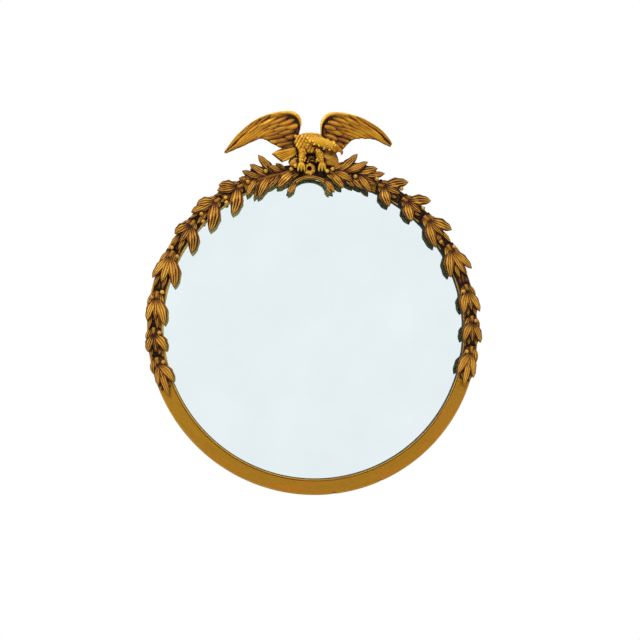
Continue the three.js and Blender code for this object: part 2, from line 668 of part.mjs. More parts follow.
add('crest_block', crestBlock(), GILT_LEAF);
add('crest_arch', shape(cut(join([archMoulding(), tongue(), archLeaf()]), legRooms)), GILT_LEAF);
add('crest_rosette', shape(cut(solid(rosette()), [...legRooms, archMoulding(CLEAR)])), GILT_LEAF);
const perchShape = perch([...legRooms, bodyRoom, tailRoom, tongue(CLEAR), rosette(CLEAR)]);
add('crest_leaves_left', crestLeaves(-1, CREST_LEFT,
  [[-40, -3, 10], [-31, 4, 10], [-91, -7, 10], [-127, -28, 9]], crestRooms), GILT_LEAF);
add('crest_leaves_right', crestLeaves(1, CREST_RIGHT,
  [[33, -7, 10], [44, -3, 10], [134, -24, 9], [90, -19, 11]], crestRooms), GILT_LEAF);
add('crest_perch', perchShape, GILT_LEAF);

add('eagle_body', shape(eagleBody()), GILT_EAGLE);
add('eagle_wing_left', wing(WING_LEFT, [bodyRoom, tailRoom]), GILT_EAGLE);
add('eagle_wing_right', wing(WING_RIGHT, [bodyRoom]), GILT_EAGLE);
add('eagle_tail', eagleTail([bodyRoom, ...legRooms]), GILT_EAGLE);
add('eagle_leg_left', shape(cut(eagleLeg(-18, -4), [bodyRoom])), GILT_EAGLE);
add('eagle_leg_right', shape(cut(eagleLeg(19, 8), [bodyRoom])), GILT_EAGLE);

BUTTON_ANGLES.forEach((angle, i) => {
  add(`turn_button_${i + 1}`, turnButton(angle), BRASS);
  add(`turn_button_screw_${i + 1}`, screw(...onRing(angle, LAND_R), SEAT_Y + BUTTON_T + CLEAR), STEEL);
});
for (const [side, word] of [[-1, 'left'], [1, 'right']]) {
  add(`hanger_strap_${word}`, hangerStrap(side), BRASS);
  add(`hanger_ring_${word}`, hangerRing(side), STEEL);
  const seat = hangerSeat(side);
  add(`hanger_screw_${word}`, screw(seat.x, seat.z, SEAT_Y + HANGER_T + CLEAR), STEEL);
  add(`wall_bumper_${word}`, wallBumper(side), FELT);
}
add('crest_strap', crestStrap(), STEEL);
strapSeats().forEach(([x, z], i) => {
  add(`crest_strap_screw_${i + 1}`, screw(x, z, SEAT_Y + STRAP_T + CLEAR), STEEL);
});

export default mirror;
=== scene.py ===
"""Round wall mirror in a gilt ring, with a garland of carved leaves and an eagle crest.

The looks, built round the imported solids. Lengths are in millimetres until a mesh is made.
x runs across the mirror, z up it, and h out of the ring's face towards the viewer.
"""

import math

import bmesh
import bpy
import numpy as np
from mathutils import Matrix, Vector


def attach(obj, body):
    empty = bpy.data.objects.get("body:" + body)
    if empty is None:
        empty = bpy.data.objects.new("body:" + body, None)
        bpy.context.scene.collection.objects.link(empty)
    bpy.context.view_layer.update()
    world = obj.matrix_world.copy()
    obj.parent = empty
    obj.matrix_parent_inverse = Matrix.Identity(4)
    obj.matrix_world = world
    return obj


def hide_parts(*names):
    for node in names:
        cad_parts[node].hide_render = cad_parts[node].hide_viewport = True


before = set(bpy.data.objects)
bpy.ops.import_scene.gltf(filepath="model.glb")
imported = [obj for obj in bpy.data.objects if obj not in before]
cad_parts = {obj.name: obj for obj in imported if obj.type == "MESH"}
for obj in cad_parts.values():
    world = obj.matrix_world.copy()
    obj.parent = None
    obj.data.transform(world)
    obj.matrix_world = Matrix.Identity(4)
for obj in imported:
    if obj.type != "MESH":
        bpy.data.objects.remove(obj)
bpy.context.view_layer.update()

MM = 0.001
TURN = 2 * math.pi
CLEAR = 0.3   # gap between pieces that lie on each other
BACK_Y, FACE_Y, REBATE_Y = -7.0, -25.0, -19.7   # the ring's back, its face, the floor of its rebate
SIGHT_R, REBATE_R, OUTER_R = 299.0, 309.0, 330.0
PLATE_R = 308.0
LAND_R = 319.5   # middle of the ring's back, where its fittings sit
SEAT_Y = BACK_Y + CLEAR
LEAF_H = 5.0   # the face of the crest's block above the ring's
STEM_R = 317.0   # middle line of the garland


# ---- nodes ----
def to_linear(code):
    """An sRGB hex colour as the linear RGBA that Blender reads."""
    parts = [int(code[i:i + 2], 16) / 255 for i in (1, 3, 5)]
    return (*[c / 12.92 if c <= 0.04045 else ((c + 0.055) / 1.055) ** 2.4 for c in parts], 1.0)


def add(tree, kind, settings=None, out=None, **inputs):
    """Adds a node and returns its output of this name, or its first.

    A kind without Node in it is a shader node. An input, by name or as i0, i1, is a value or an
    output to link from. The setting ramp is a row of places and colours.
    """
    made = tree.nodes.new(kind if "Node" in kind else "ShaderNode" + kind)
    for key, value in (settings or {}).items():
        if key == "ramp":
            steps = made.color_ramp.elements
            while len(steps) < len(value):
                steps.new(0.5)
            for step, (place, code) in zip(steps, value):
                step.position, step.color = place, to_linear(code)
        else:
            setattr(made, key, value)
    live = [s for s in made.inputs if s.enabled]
    for key, value in inputs.items():
        name = key.replace("_", " ")
        socket = live[int(key[1:])] if key[1:].isdigit() else next(s for s in live if s.name == name)
        if isinstance(value, bpy.types.NodeSocket):
            tree.links.new(value, socket)
        else:
            socket.default_value = value
    shown = [s for s in made.outputs if s.enabled]
    return next((s for s in shown if out in (None, s.name)), None)


def maths(tree, operation, *values):
    return add(tree, "Math", {"operation": operation}, **{f"i{k}": v for k, v in enumerate(values)})


def weighed(tree, value, weight, rest):
    return maths(tree, "MULTIPLY_ADD", value, weight, rest)


def remap(tree, value, low=0.0, high=1.0, to_low=0.0, to_high=1.0):
    return add(tree, "MapRange", Value=value, From_Min=low, From_Max=high, To_Min=to_low,
               To_Max=to_high)


def ramp(tree, steps, value):
    return add(tree, "ValToRGB", {"ramp": steps}, out="Color", Fac=value)


def mix(tree, share, a, b, kind="RGBA"):
    return add(tree, "Mix", {"data_type": kind}, Factor=share, A=a, B=b)


def noise(tree, place, scale, detail, rough=0.5, **inputs):
    return add(tree, "TexNoise", Vector=place, Scale=scale, Detail=detail, Roughness=rough, **inputs)


def object_place(tree):
    return add(tree, "TexCoord", out="Object")


def made_of(recipe, name, *settings):
    """A material whose empty tree this recipe fills."""
    material = bpy.data.materials.new(name)
    material.use_nodes = True
    material.node_tree.nodes.clear()
    recipe(material.node_tree, *settings)
    return material


# ---- camera, lamps, floor ----
def put(name, data):
    """A new object in the scene."""
    made = bpy.data.objects.new(name, data)
    bpy.context.scene.collection.objects.link(made)
    return made


def looking(place, aim):
    """Matrix of what stands at a place and looks at an aim."""
    turn = (Vector(aim) - Vector(place)).to_track_quat("-Z", "Y").to_matrix().to_4x4()
    return Matrix.Translation(place) @ turn


def set_camera():
    lens = bpy.data.cameras.new("camera")
    lens.sensor_width, lens.lens = 36.0, 38.855   # fitted to the photo, as eye, aim and roll are
    lens.clip_start, lens.clip_end = 0.05, 50
    camera = put("camera", lens)
    roll = Matrix.Rotation(math.radians(-2.7), 4, "Z")
    camera.matrix_world = looking((-0.16736, -1.375, -0.15229), (0.00589, -0.025, 0.0093)) @ roll
    bpy.context.scene.camera = camera


def softbox(name, place, aim, size, watts):
    lamp = bpy.data.lights.new(name, "AREA")
    lamp.shape, lamp.size, lamp.size_y, lamp.energy = "RECTANGLE", *size, watts
    put(name, lamp).matrix_world = looking(place, aim)


def seen_directly(tree):
    """1 on rays that should see the white studio: from the camera, off metal and through glass."""
    rays = tree.nodes.new("ShaderNodeLightPath").outputs
    some = maths(tree, "MAXIMUM", rays["Is Camera Ray"], rays["Is Glossy Ray"])
    return maths(tree, "MAXIMUM", some, rays["Is Transmission Ray"])


FLOOR_Z = -0.72


def floor_paint(tree):
    """Pale matt paint that fades into the white studio away from the object."""
    centred = add(tree, "Mapping", Vector=object_place(tree), Location=(0, 0.42, -FLOOR_Z))
    far = add(tree, "VectorMath", {"operation": "LENGTH"}, out="Value", i0=centred)
    fade = add(tree, "MapRange", {"interpolation_type": "SMOOTHSTEP"}, Value=far,
               From_Min=0.25, From_Max=0.66)
    white = maths(tree, "MULTIPLY", fade, seen_directly(tree))
    matt = add(tree, "BsdfDiffuse", Color=to_linear("#F2F2F0"))
    glow = add(tree, "Emission", Color=(1, 1, 1, 1), Strength=1.0)
    add(tree, "OutputMaterial", Surface=add(tree, "MixShader", i0=white, i1=matt, i2=glow))


def set_studio():
    world = bpy.data.worlds.new("white_studio")
    bpy.context.scene.world = world
    world.use_nodes = True
    tree = world.node_tree
    tree.nodes.clear()
    level = remap(tree, seen_directly(tree), to_low=0.3)
    light = add(tree, "Background", Color=(1, 1, 1, 1), Strength=level)
    add(tree, "OutputWorld", Surface=light)

    softbox("key_softbox", (-1.05, -1.55, 1.35), (0, 0, 0.05), (0.9, 0.9), 34)
    softbox("fill_softbox", (1.5, -1.3, 0.1), (0, 0, 0), (1.0, 1.2), 5)
    softbox("rim_softbox", (0.3, -0.35, 1.5), (0, 0, 0.2), (1.0, 0.5), 5)
    softbox("back_softbox", (0.4, 1.6, 0.9), (0, 0, 0), (1.2, 1.2), 14)

    mesh = bpy.data.meshes.new("studio_floor")
    corners = [(x, y, FLOOR_Z) for x, y in ((-3, -3), (3, -3), (3, 3), (-3, 3))]
    mesh.from_pydata(corners, [], [(0, 1, 2, 3)])
    mesh.materials.append(made_of(floor_paint, "pale_matt_floor_paint"))
    put("studio_floor", mesh)
    bpy.context.scene.view_settings.view_transform = "Standard"


set_camera()
set_studio()


# ---- finishes ----
def marks_of(tree, *names):
    return [add(tree, "Attribute", {"attribute_name": name}, out="Fac") for name in names]


def gold_on_ground(tree, gold, patches, gilded, olive, ground, low, high):
    """Gold where the wood was gilded, ragged at its edge; dark or olive ground paint elsewhere, the
    olive also painted light on the left, lit side.
    """
    dark = mix(tree, olive, ramp(tree, ground, patches), to_linear("#B2AB70"))
    cover = remap(tree, weighed(tree, patches, 0.5, gilded), low, high)
    return cover, mix(tree, cover, dark, gold)


def coat(tree, colour, bump=None, **inputs):
    """Ends a tree in a surface of this colour; bump is a height, a strength and a depth in mm."""
    if bump:
        height, strength, depth = bump
        inputs["Normal"] = add(tree, "Bump", Strength=strength, Distance=depth * MM, Height=height)
    add(tree, "OutputMaterial", Surface=add(tree, "BsdfPrincipled", Base_Color=colour, **inputs))


def gilding(tree, steps, rubbed, metallic):
    """Gold leaf on red bole over gesso, darkened with painted shade in the cuts and between overlapping
    parts.

    Marks of the carving: relief, 0 in a cut and 1 on a ridge; the cavity mark, 1 where it lies below
    its surroundings, where the colour is darkened as painted shade; gilding, 0 where the wood was left
    dark; the olive mark, 1 where that wood has olive ground paint on it, set higher on the left than on
    the right as painted light and shade; tone, a number of its own for each leaf.
    """
    relief, cavity, gilded, tone, olive = marks_of(tree, "relief", "cavity", "gilding", "tone", "olive")
    # 22 mm cloudy patches, 8 mm mottling of the hand-laid glaze, 1.3 mm grain of the gesso
    place = object_place(tree)
    cloud, mottle, grain = (noise(tree, place, scale, 2, 0.6) for scale in (45, 125, 760))
    high = relief
    # the cavity mark darkens the colour where the carving lies below its surroundings: painted shade
    for value, weight in ((cavity, -1.15), (mottle, 0.18), (tone, 0.16)):
        high = weighed(tree, value, weight, high)
    level = remap(tree, high, 0.5, 1.4)
    # leaf rubbed through to the red bole on the proudest places
    rub = remap(tree, maths(tree, "MULTIPLY", level, cloud), 0.36, 0.6, to_high=0.55)
    worn = mix(tree, rub, ramp(tree, steps, level), to_linear(rubbed))
    ground = [(0.25, "#141B1A"), (0.6, "#2A302A"), (0.85, "#4A3A22")]
    cover, colour = gold_on_ground(tree, worn, mottle, gilded, olive, ground, 0.62, 0.86)
    shine = weighed(tree, grain, 0.16, remap(tree, level, to_low=0.72, to_high=0.4))
    metal_part = maths(tree, "MULTIPLY", maths(tree, "MULTIPLY", cover, level), metallic)
    coat(tree, colour, (weighed(tree, grain, 0.35, mottle), 0.5, 0.6), Metallic=metal_part,
         Roughness=shine, Specular_IOR_Level=0.2)


def burnished_band(tree):
    """Water-gilded, burnished turning: streaks along it, red bole showing through, a few chips.

    Its map runs along the ring in metres (U) and over the moulding in metres (V).
    """
    run = add(tree, "UVMap", {"uv_map": "round_the_ring"})
    relief, chip, gilded, olive = marks_of(tree, "relief", "chip", "gilding", "olive")
    # burnisher lines 1.1 mm across and 60 mm along, laps of the leaf 80 mm apart, 4 by 8 mm patches
    streak, lap, blotch = (
        noise(tree, add(tree, "Mapping", Vector=run, Scale=(*scale, 1)), 1.0, detail, rough)
        for scale, detail, rough in (((16, 900), 3, 0.65), ((12, 60), 2, 0.5), ((120, 240), 4, 0.7)))
    high = weighed(tree, blotch, 0.35, weighed(tree, streak, 0.5, relief))
    gold = ramp(tree, [(0.0, "#2E1A06"), (0.3, "#6E470A"), (0.52, "#9A6C12"), (0.7, "#B07E18"),
                       (0.95, "#D6A83C")], remap(tree, high, 0.26, 1.4))
    warm = mix(tree, remap(tree, lap, 0.5, 0.72, to_high=0.6), gold, to_linear("#B8701A"))
    ground = [(0.3, "#10191C"), (0.7, "#232C2A")]
    cover, colour = gold_on_ground(tree, warm, blotch, gilded, olive, ground, 0.6, 0.82)
    coat(tree, mix(tree, chip, colour, to_linear("#2B160C")), (streak, 0.35, 0.4),
         Metallic=remap(tree, cover, to_high=0.3), Specular_IOR_Level=0.2,
         Roughness=remap(tree, blotch, to_low=0.34, to_high=0.62))


def wood(tree, steps, grain_mm, along, rough):
    """Sawn or planed wood: long grain along one axis, pores, and a little dust."""
    # grain_mm across the grain and 14 times that along it, stains 70 mm wide
    place = object_place(tree)
    across = 1000 / grain_mm
    scale = [across / 14 if axis == along else across for axis in "XYZ"]
    figure = noise(tree, add(tree, "Mapping", Vector=place, Scale=scale), 1.0, 5, 0.6, Distortion=0.4)
    tint = weighed(tree, noise(tree, place, 14, 3), 0.5, figure)
    coat(tree, ramp(tree, steps, remap(tree, tint, 0.45, 1.05)), (figure, 0.4, 0.5),
         Roughness=remap(tree, figure, to_low=rough - 0.12, to_high=rough + 0.12))


def metal(tree, steps, rough, spot_mm):
    """Plated or lacquered pressings, dulled in patches and scratched by handling."""
    # patches of spot_mm, scratches 3 mm long and 0.4 mm apart
    place = object_place(tree)
    spots = noise(tree, place, 1000 / spot_mm, 4, 0.65)
    scratch = noise(tree, add(tree, "Mapping", Vector=place, Scale=(300, 300, 2500)), 1.0, 2)
    coat(tree, ramp(tree, steps, spots), (scratch, 0.2, 0.2), Metallic=1.0,
         Roughness=remap(tree, spots, 0.3, 0.7, rough + 0.18, rough))


def silvered_plate(tree):
    """Silvered float glass: a cool, faintly green mirror with a breath of haze and dust."""
    # clouds of haze 110 mm wide, specks of dust 1.1 mm apart
    place = object_place(tree)
    haze = ramp(tree, [(0.3, "#E4EEF0"), (0.7, "#E9F2F4")], noise(tree, place, 9, 3))
    dust = remap(tree, noise(tree, place, 900, 2), 0.7, 0.85, 0.012, 0.03)
    coat(tree, haze, Metallic=1.0, Roughness=dust)


def felt(tree):
    """Pressed wool felt: matt, with short crossed fibres."""
    # fibres 0.7 mm apart in 2 mm tufts
    place = object_place(tree)
    fibre = add(tree, "TexVoronoi", {"feature": "DISTANCE_TO_EDGE"}, Vector=place, Scale=1400)
    tuft = noise(tree, place, 500, 4)
    coat(tree, ramp(tree, [(0.3, "#2B2926"), (0.7, "#4B4842")], tuft), (fibre, 0.6, 0.6),
         Roughness=0.95, Sheen_Weight=0.3)


LEAF_GOLD = [(0.0, "#1C0B04"), (0.25, "#4C2608"), (0.48, "#865012"), (0.7, "#B07A1C"),
             (0.95, "#DCAA40")]
EAGLE_GOLD = [(0.0, "#2A1204"), (0.24, "#6A3A08"), (0.48, "#A26A12"), (0.7, "#C68C14"),
              (0.95, "#E8BA3E")]
PINE = [(0.1, "#7A5A38"), (0.5, "#A58257"), (0.9, "#C4A273")]
BOARD = [(0.1, "#5A4028"), (0.5, "#83623F"), (0.9, "#A3805A")]
BRASS = [(0.2, "#6E5222"), (0.5, "#A98442"), (0.8, "#CBA862")]
ZINC = [(0.2, "#6F7173"), (0.5, "#97999B"), (0.8, "#B9BBBD")]
finish = {key: made_of(*recipe) for key, *recipe in (
    ("leaf", gilding, "toned_gold_leaf_on_carving", LEAF_GOLD, "#8E4E1C", 0.3),
    ("eagle", gilding, "bright_gold_leaf_on_eagle", EAGLE_GOLD, "#B06A18", 0.32),
    ("band", burnished_band, "burnished_gold_leaf_on_ring"),
    ("pine", wood, "planed_pine_back", PINE, 2.2, "Z", 0.7),
    ("board", wood, "stained_plywood_back_board", BOARD, 3.0, "X", 0.75),
    ("brass", metal, "lacquered_brass_pressing", BRASS, 0.3, 4),
    ("steel", metal, "zinc_plated_steel", ZINC, 0.32, 3),
    ("plate", silvered_plate, "silvered_float_glass"),
    ("felt", felt, "pressed_wool_felt"),
)}


# ---- carving helpers ----
def on_ring(degrees, r):
    return r * math.sin(math.radians(degrees)), r * math.cos(math.radians(degrees))


def circle(steps):
    """Angles of equal steps round a circle."""
    return TURN * np.arange(steps) / steps


def xyz(x, y, z):
    """Points from coordinates in shapes that fit each other."""
    return np.stack(np.broadcast_arrays(x, y, z), axis=-1).astype(float)


def out_of_face(x, z, h):
    """Points from x, z and the height out of the ring's face."""
    return xyz(x, FACE_Y - np.asarray(h, float), z)


def smooth_step(low, high, value):
    t = np.clip((value - low) / (high - low), 0, 1)
    return t * t * (3 - 2 * t)


def curve_through(knots, count):
    """Smooth curve through the knots as count points."""
    p = np.asarray(knots, float)
    p = np.vstack([2 * p[0] - p[1], p, 2 * p[-1] - p[-2]])
    u = np.linspace(0, len(p) - 3, count)
    i = np.minimum(u.astype(int), len(p) - 4)
    f = (u - i)[:, None]
    a, b, c, d = p[i], p[i + 1], p[i + 2], p[i + 3]
    square, cube = 2 * a - 5 * b + 4 * c - d, 3 * b - a - 3 * c + d
    return 0.5 * (2 * b + (c - a) * f + square * f ** 2 + cube * f ** 3)


def write_mark(mesh, name, values):
    """Writes a number or a vector for every point of a mesh."""
    values = np.asarray(values, np.float32)
    kind, field = ("FLOAT", "value") if values.ndim == 1 else ("FLOAT_VECTOR", "vector")
    mesh.attributes.new(name, kind, "POINT").data.foreach_set(field, values.ravel())


class Carving:
    """Closed shapes in millimetres that end as one mesh, with their marks for the gilding."""

    MARKS = {"relief": 0.7, "gilding": 1.0, "tone": 0.5, "chip": 0.0, "olive": 0.0}

    def __init__(self):
        self.points, self.faces, self.slots, self.count = [], [], [], 0
        self.marks = {key: [] for key in self.MARKS}

    def take(self, points, faces, slot=0, **marks):
        points = np.asarray(points, float).reshape(-1, 3)
        for key, usual in self.MARKS.items():
            value = np.asarray(marks.get(key, usual), float).reshape(-1)
            self.marks[key].append(np.broadcast_to(value, (len(points),)))
        self.points.append(points)
        self.faces += [tuple(i + self.count for i in f) for f in faces]
        self.slots += [slot] * len(faces) if isinstance(slot, int) else list(slot)
        self.count += len(points)
        return self

    def take_mesh(self, mesh, slot=0, **marks):
        """Takes in a mesh in metres with the marks that it carries."""
        co = np.zeros(len(mesh.vertices) * 3)
        mesh.vertices.foreach_get("co", co)
        for key in self.MARKS:
            layer = mesh.attributes.get(key)
            if layer is not None and key not in marks:
                marks[key] = np.zeros(len(mesh.vertices))
                layer.data.foreach_get("value", marks[key])
        self.take(co.reshape(-1, 3) / MM, [tuple(p.vertices) for p in mesh.polygons], slot, **marks)
        bpy.data.meshes.remove(mesh)
        return self

    def skin(self, rings, slot=0, caps=True, endless=False, **marks):
        """Skin over a row of equal closed outlines; each cap is a fan round its middle."""
        rings = np.asarray(rings, float)
        rows, n = rings.shape[:2]
        points = [rings.reshape(-1, 3)]
        j = np.arange(n)
        faces = []
        for i in range(rows if endless else rows - 1):
            low, up = i * n, (i + 1) % rows * n
            faces += list(zip(low + j, low + (j + 1) % n, up + (j + 1) % n, up + j))
        marks = {k: np.broadcast_to(np.asarray(v, float), (rows, n)).ravel() for k, v in marks.items()}
        if caps and not endless:
            for row, hub in ((0, rows * n), (rows - 1, rows * n + 1)):
                points.append(rings[row].mean(0)[None])
                faces += [(hub, row * n + a, row * n + (a + 1) % n) for a in j]
                marks = {k: np.append(v, v[row * n:(row + 1) * n].mean()) for k, v in marks.items()}
        return self.take(np.vstack(points), faces, slot, **marks)

    def cloud(self):
        return np.vstack(self.points)

    def mesh(self, name, materials, smooth=True):
        made = bpy.data.meshes.new(name)
        made.from_pydata((self.cloud() * MM).tolist(), [], self.faces)
        shape = bmesh.new()
        shape.from_mesh(made)
        bmesh.ops.recalc_face_normals(shape, faces=shape.faces)
        shape.to_mesh(made)
        shape.free()
        for key, values in self.marks.items():
            write_mark(made, key, np.concatenate(values))
        for material in materials:
            made.materials.append(material)
        made.polygons.foreach_set("material_index", self.slots)
        made.polygons.foreach_set("use_smooth", [smooth] * len(made.polygons))
        return made


def show(name, carving, materials, body, nodes, smooth=True):
    """Puts a finished carving into the scene in place of its CAD nodes."""
    made = put(name, carving.mesh(name, [finish[m] for m in materials], smooth))
    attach(made, body)
    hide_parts(*nodes)
    return made


class HeightMap:
    """How far the carving stands out of the face, on a grid one millimetre apart."""

    UNKNOWN = -1e3

    def __init__(self, low, high, empty):
        self.low, self.empty = np.array(low, float), empty
        self.grid = np.full((int(high[0] - low[0]) + 2, int(high[1] - low[1]) + 2), self.UNKNOWN)

    def press(self, points):
        cell = np.rint(points[:, [0, 2]] - self.low).astype(int)
        keep = ((cell >= 0) & (cell < self.grid.shape)).all(1)
        np.maximum.at(self.grid, tuple(cell[keep].T), (FACE_Y - points[:, 1])[keep])
        return self

    def close(self, rounds):
        """Fills the cells between the pressed points from their neighbours."""
        rows, cols = self.grid.shape
        for _ in range(rounds):
            wide = np.pad(self.grid, 1, constant_values=self.UNKNOWN)
            near = np.max([wide[a:rows + a, b:cols + b] for a in range(3) for b in range(3)], axis=0)
            self.grid = np.where(self.grid == self.UNKNOWN, near, self.grid)
        self.grid[self.grid == self.UNKNOWN] = self.empty
        return self

    def blurred(self, reach):
        """A copy smoothed over that many millimetres."""
        kernel = np.exp(-0.5 * (np.arange(-3 * reach, 3 * reach + 1) / reach) ** 2)
        kernel /= kernel.sum()
        made = HeightMap(self.low, self.low, self.empty)
        made.grid = self.grid
        for axis in (0, 1):
            made.grid = np.apply_along_axis(np.convolve, axis, made.grid, kernel, "same")
        return made

    def at(self, x, z):
        edge = np.array(self.grid.shape)[:, None] - 1.001
        u = np.clip(np.stack([x - self.low[0], z - self.low[1]]), 0, edge)
        i, k = u.astype(int)
        f, g = u - np.stack([i, k])
        low = self.grid[i, k] * (1 - f) + self.grid[i + 1, k] * f
        high = self.grid[i, k + 1] * (1 - f) + self.grid[i + 1, k + 1] * f
        return low * (1 - g) + high * g


def seat_cloud(points, edges=(), **marks):
    """Points in millimetres that carry marks, for a node tree to build on."""
    mesh = bpy.data.meshes.new("seats")
    mesh.from_pydata((np.asarray(points, float) * MM).tolist(), edges, [])
    for key, values in marks.items():
        write_mark(mesh, key, values)
    return mesh


def grow(tree, mesh, **inputs):
    """Runs a geometry node tree on a mesh and returns the plain mesh that comes out."""
    holder = put("holder", mesh)
    work = holder.modifiers.new("grow", "NODES")
    work.node_group = tree
    for item in tree.interface.items_tree:
        if item.in_out == "INPUT" and item.name in inputs:
            work[item.identifier] = inputs[item.name]
    ready = holder.evaluated_get(bpy.context.evaluated_depsgraph_get())
    made = bpy.data.meshes.new_from_object(ready)
    bpy.data.objects.remove(holder)
    bpy.data.meshes.remove(mesh)
    return made


# ---- node trees that set blades, berries, twigs and screws ----
def new_tree(name, **sockets):
    """A geometry tree and its inputs: the geometry, the finish and these."""
    tree = bpy.data.node_groups.new(name, "GeometryNodeTree")
    for key, kind in {"Geometry": "Geometry", "Finish": "Material", **sockets}.items():
        tree.interface.new_socket(key, in_out="INPUT", socket_type="NodeSocket" + kind)
    tree.interface.new_socket("Geometry", in_out="OUTPUT", socket_type="NodeSocketGeometry")
    return tree, tree.nodes.new("NodeGroupInput").outputs


def end_tree(tree, given, geometry):
    """Ends a tree with this geometry in its finish."""
    real = add(tree, "GeometryNodeRealizeInstances", Geometry=geometry)
    made = add(tree, "GeometryNodeSetMaterial", Geometry=real, Material=given["Finish"])
    add(tree, "NodeGroupOutput", Geometry=made)
    return tree


def blank_on_seats(tree, given, **inputs):
    shape = add(tree, "GeometryNodeObjectInfo", {"transform_space": "ORIGINAL"}, out="Geometry",
                Object=given["Blank"], As_Instance=True)
    return add(tree, "GeometryNodeInstanceOnPoints", Points=given["Geometry"], Instance=shape, **inputs)


def named_mark(tree, name, kind):
    return add(tree, "GeometryNodeInputNamedAttribute", {"data_type": kind}, Name=name)


def blades_tree():
    """One carved blank on every seat, bent along its own curve and resting on the ground."""
    tree, given = new_tree("carved_blades_on_seats", Blank="Object", Ground="Float")
    along = named_mark(tree, "along", "FLOAT")
    turn, size, start, middle, end = (
        named_mark(tree, mark, "FLOAT_VECTOR")
        for mark in ("turn", "size", "bend_start", "bend_middle", "bend_end"))
    placed = blank_on_seats(tree, given, Rotation=turn, Scale=size)
    loose = add(tree, "GeometryNodeRealizeInstances", Geometry=placed)
    first, second = (mix(tree, along, a, b, "VECTOR") for a, b in ((start, middle), (middle, end)))
    bend = mix(tree, along, first, second, "VECTOR")
    bent = add(tree, "GeometryNodeSetPosition", Geometry=loose, Offset=bend)
    parts = tree.nodes.new("ShaderNodeSeparateXYZ")
    tree.links.new(add(tree, "GeometryNodeInputPosition"), parts.inputs[0])
    rested = maths(tree, "MINIMUM", parts.outputs["Y"], given["Ground"])
    place = add(tree, "CombineXYZ", X=parts.outputs["X"], Y=rested, Z=parts.outputs["Z"])
    return end_tree(tree, given, add(tree, "GeometryNodeSetPosition", Geometry=bent, Position=place))


def berries_tree():
    """A round berry on every point."""
    tree, given = new_tree("berries_on_points", Radius="Float")
    ball = add(tree, "GeometryNodeMeshUVSphere", Segments=20, Rings=12, Radius=given["Radius"])
    placed = add(tree, "GeometryNodeInstanceOnPoints", Points=given["Geometry"], Instance=ball)
    return end_tree(tree, given, placed)


def twigs_tree():
    """Round stems along the edges of a mesh, as thick as its thickness mark says."""
    tree, given = new_tree("stems_along_lines", Sides="Int")
    thick = named_mark(tree, "thickness", "FLOAT")
    lines = add(tree, "GeometryNodeMeshToCurve", Mesh=given["Geometry"])
    ring = add(tree, "GeometryNodeCurvePrimitiveCircle", Resolution=given["Sides"], Radius=1.0)
    solid = add(tree, "GeometryNodeCurveToMesh", Curve=lines, Profile_Curve=ring, Scale=thick,
                Fill_Caps=True)
    return end_tree(tree, given, solid)


def screws_tree():
    """One screw on every seat, each slot left as the driver stopped."""
    tree, given = new_tree("screws_on_seats", Blank="Object", Seed="Int")
    angle = add(tree, "FunctionNodeRandomValue", {"data_type": "FLOAT_VECTOR"}, Min=(0, 0, 0),
                Max=(0, math.pi, 0), Seed=given["Seed"])
    return end_tree(tree, given, blank_on_seats(tree, given, Rotation=angle))


BLADES, BERRIES, TWIGS = blades_tree(), berries_tree(), twigs_tree()


# ---- leaves and feathers ----
def blank(name, outline, carve, thick, rows=34, cols=27):
    """A leaf or feather to be set on seats: one unit long, one in half width, real thickness.

    outline(t) gives the half width, carve(s, t) the rise of the top in mm and its relief mark.
    """
    t = np.clip(1 - (1 - np.linspace(0, 1, rows)) ** 1.5, 0, 0.992)
    s = np.sin(np.linspace(-math.pi / 2, math.pi / 2, cols)) * 0.5 + np.linspace(-1, 1, cols) * 0.5
    under = np.array([(1.0, 0.5), (0.96, 1.0), (0.4, 1.0), (-0.4, 1.0), (-0.96, 1.0), (-1.0, 0.5)])
    rings, relief = [], []
    for row in t:
        half = outline(row)
        rise, mark = carve(s, row)
        low = xyz(row, thick * under[:, 1] * MM, under[:, 0] * half)
        rings.append(np.vstack([xyz(row, -rise * MM, s * half), low]))
        relief.append(np.append(mark, [0.25] * len(under)))
    gilt = np.append(np.ones(cols), [0.3, 0, 0, 0, 0, 0.3])
    work = Carving().skin(np.array(rings) / MM, relief=np.array(relief), gilding=gilt)
    made = work.mesh(name, [])
    write_mark(made, "along", np.append(np.repeat(t, cols + len(under)), [0.0, 1.0]))
    for mark in ("tone", "chip", "olive"):
        made.attributes.remove(made.attributes[mark])
    holder = put(name, made)
    holder.hide_render = True
    return holder


def laurel_outline(t):
    """Narrow at the foot, widest at the middle, running out to a point."""
    return 3.1 * (t + 0.08) ** 0.95 * (1 - t) ** 0.88


def lobed_outline(t):
    lobes = 1 + 0.08 * math.cos(2 * math.pi * 2.6 * (t - 0.86)) * float(smooth_step(0.3, 0.5, t))
    return laurel_outline(t) * lobes


def leaf_carve(flutes):
    """Raised midrib with this many soft flutes on each side of it."""
    def carve(s, t):
        a = np.abs(s)
        fade = float(smooth_step(1.0, 0.85, t)) * float(smooth_step(0, 0.2, t))
        wave = np.cos(2 * math.pi * flutes * (a + 0.05 * math.sin(5 * t))) * fade
        dome = 2.0 * (1 - a ** 2.6) - 0.6
        foot = 0.34 * float(smooth_step(0.4, 0.0, t))
        # painted shade: darker towards the edges and the foot, where leaves meet and tuck under each
        # other
        relief = 0.43 + 0.24 * wave + 0.16 * math.sin(math.pi * t) - 0.6 * a ** 5 - foot
        return dome + 0.5 * wave, relief
    return carve


def feather_outline(foot, start, knee, power):
    """Opens quickly at the foot and rounds off past the knee."""
    def outline(t):
        tip = max(0.0, (t - knee) / (1 - knee)) ** power
        return min(1.0, (t / foot + start) ** 0.5) * (1 - tip) ** 0.5
    return outline


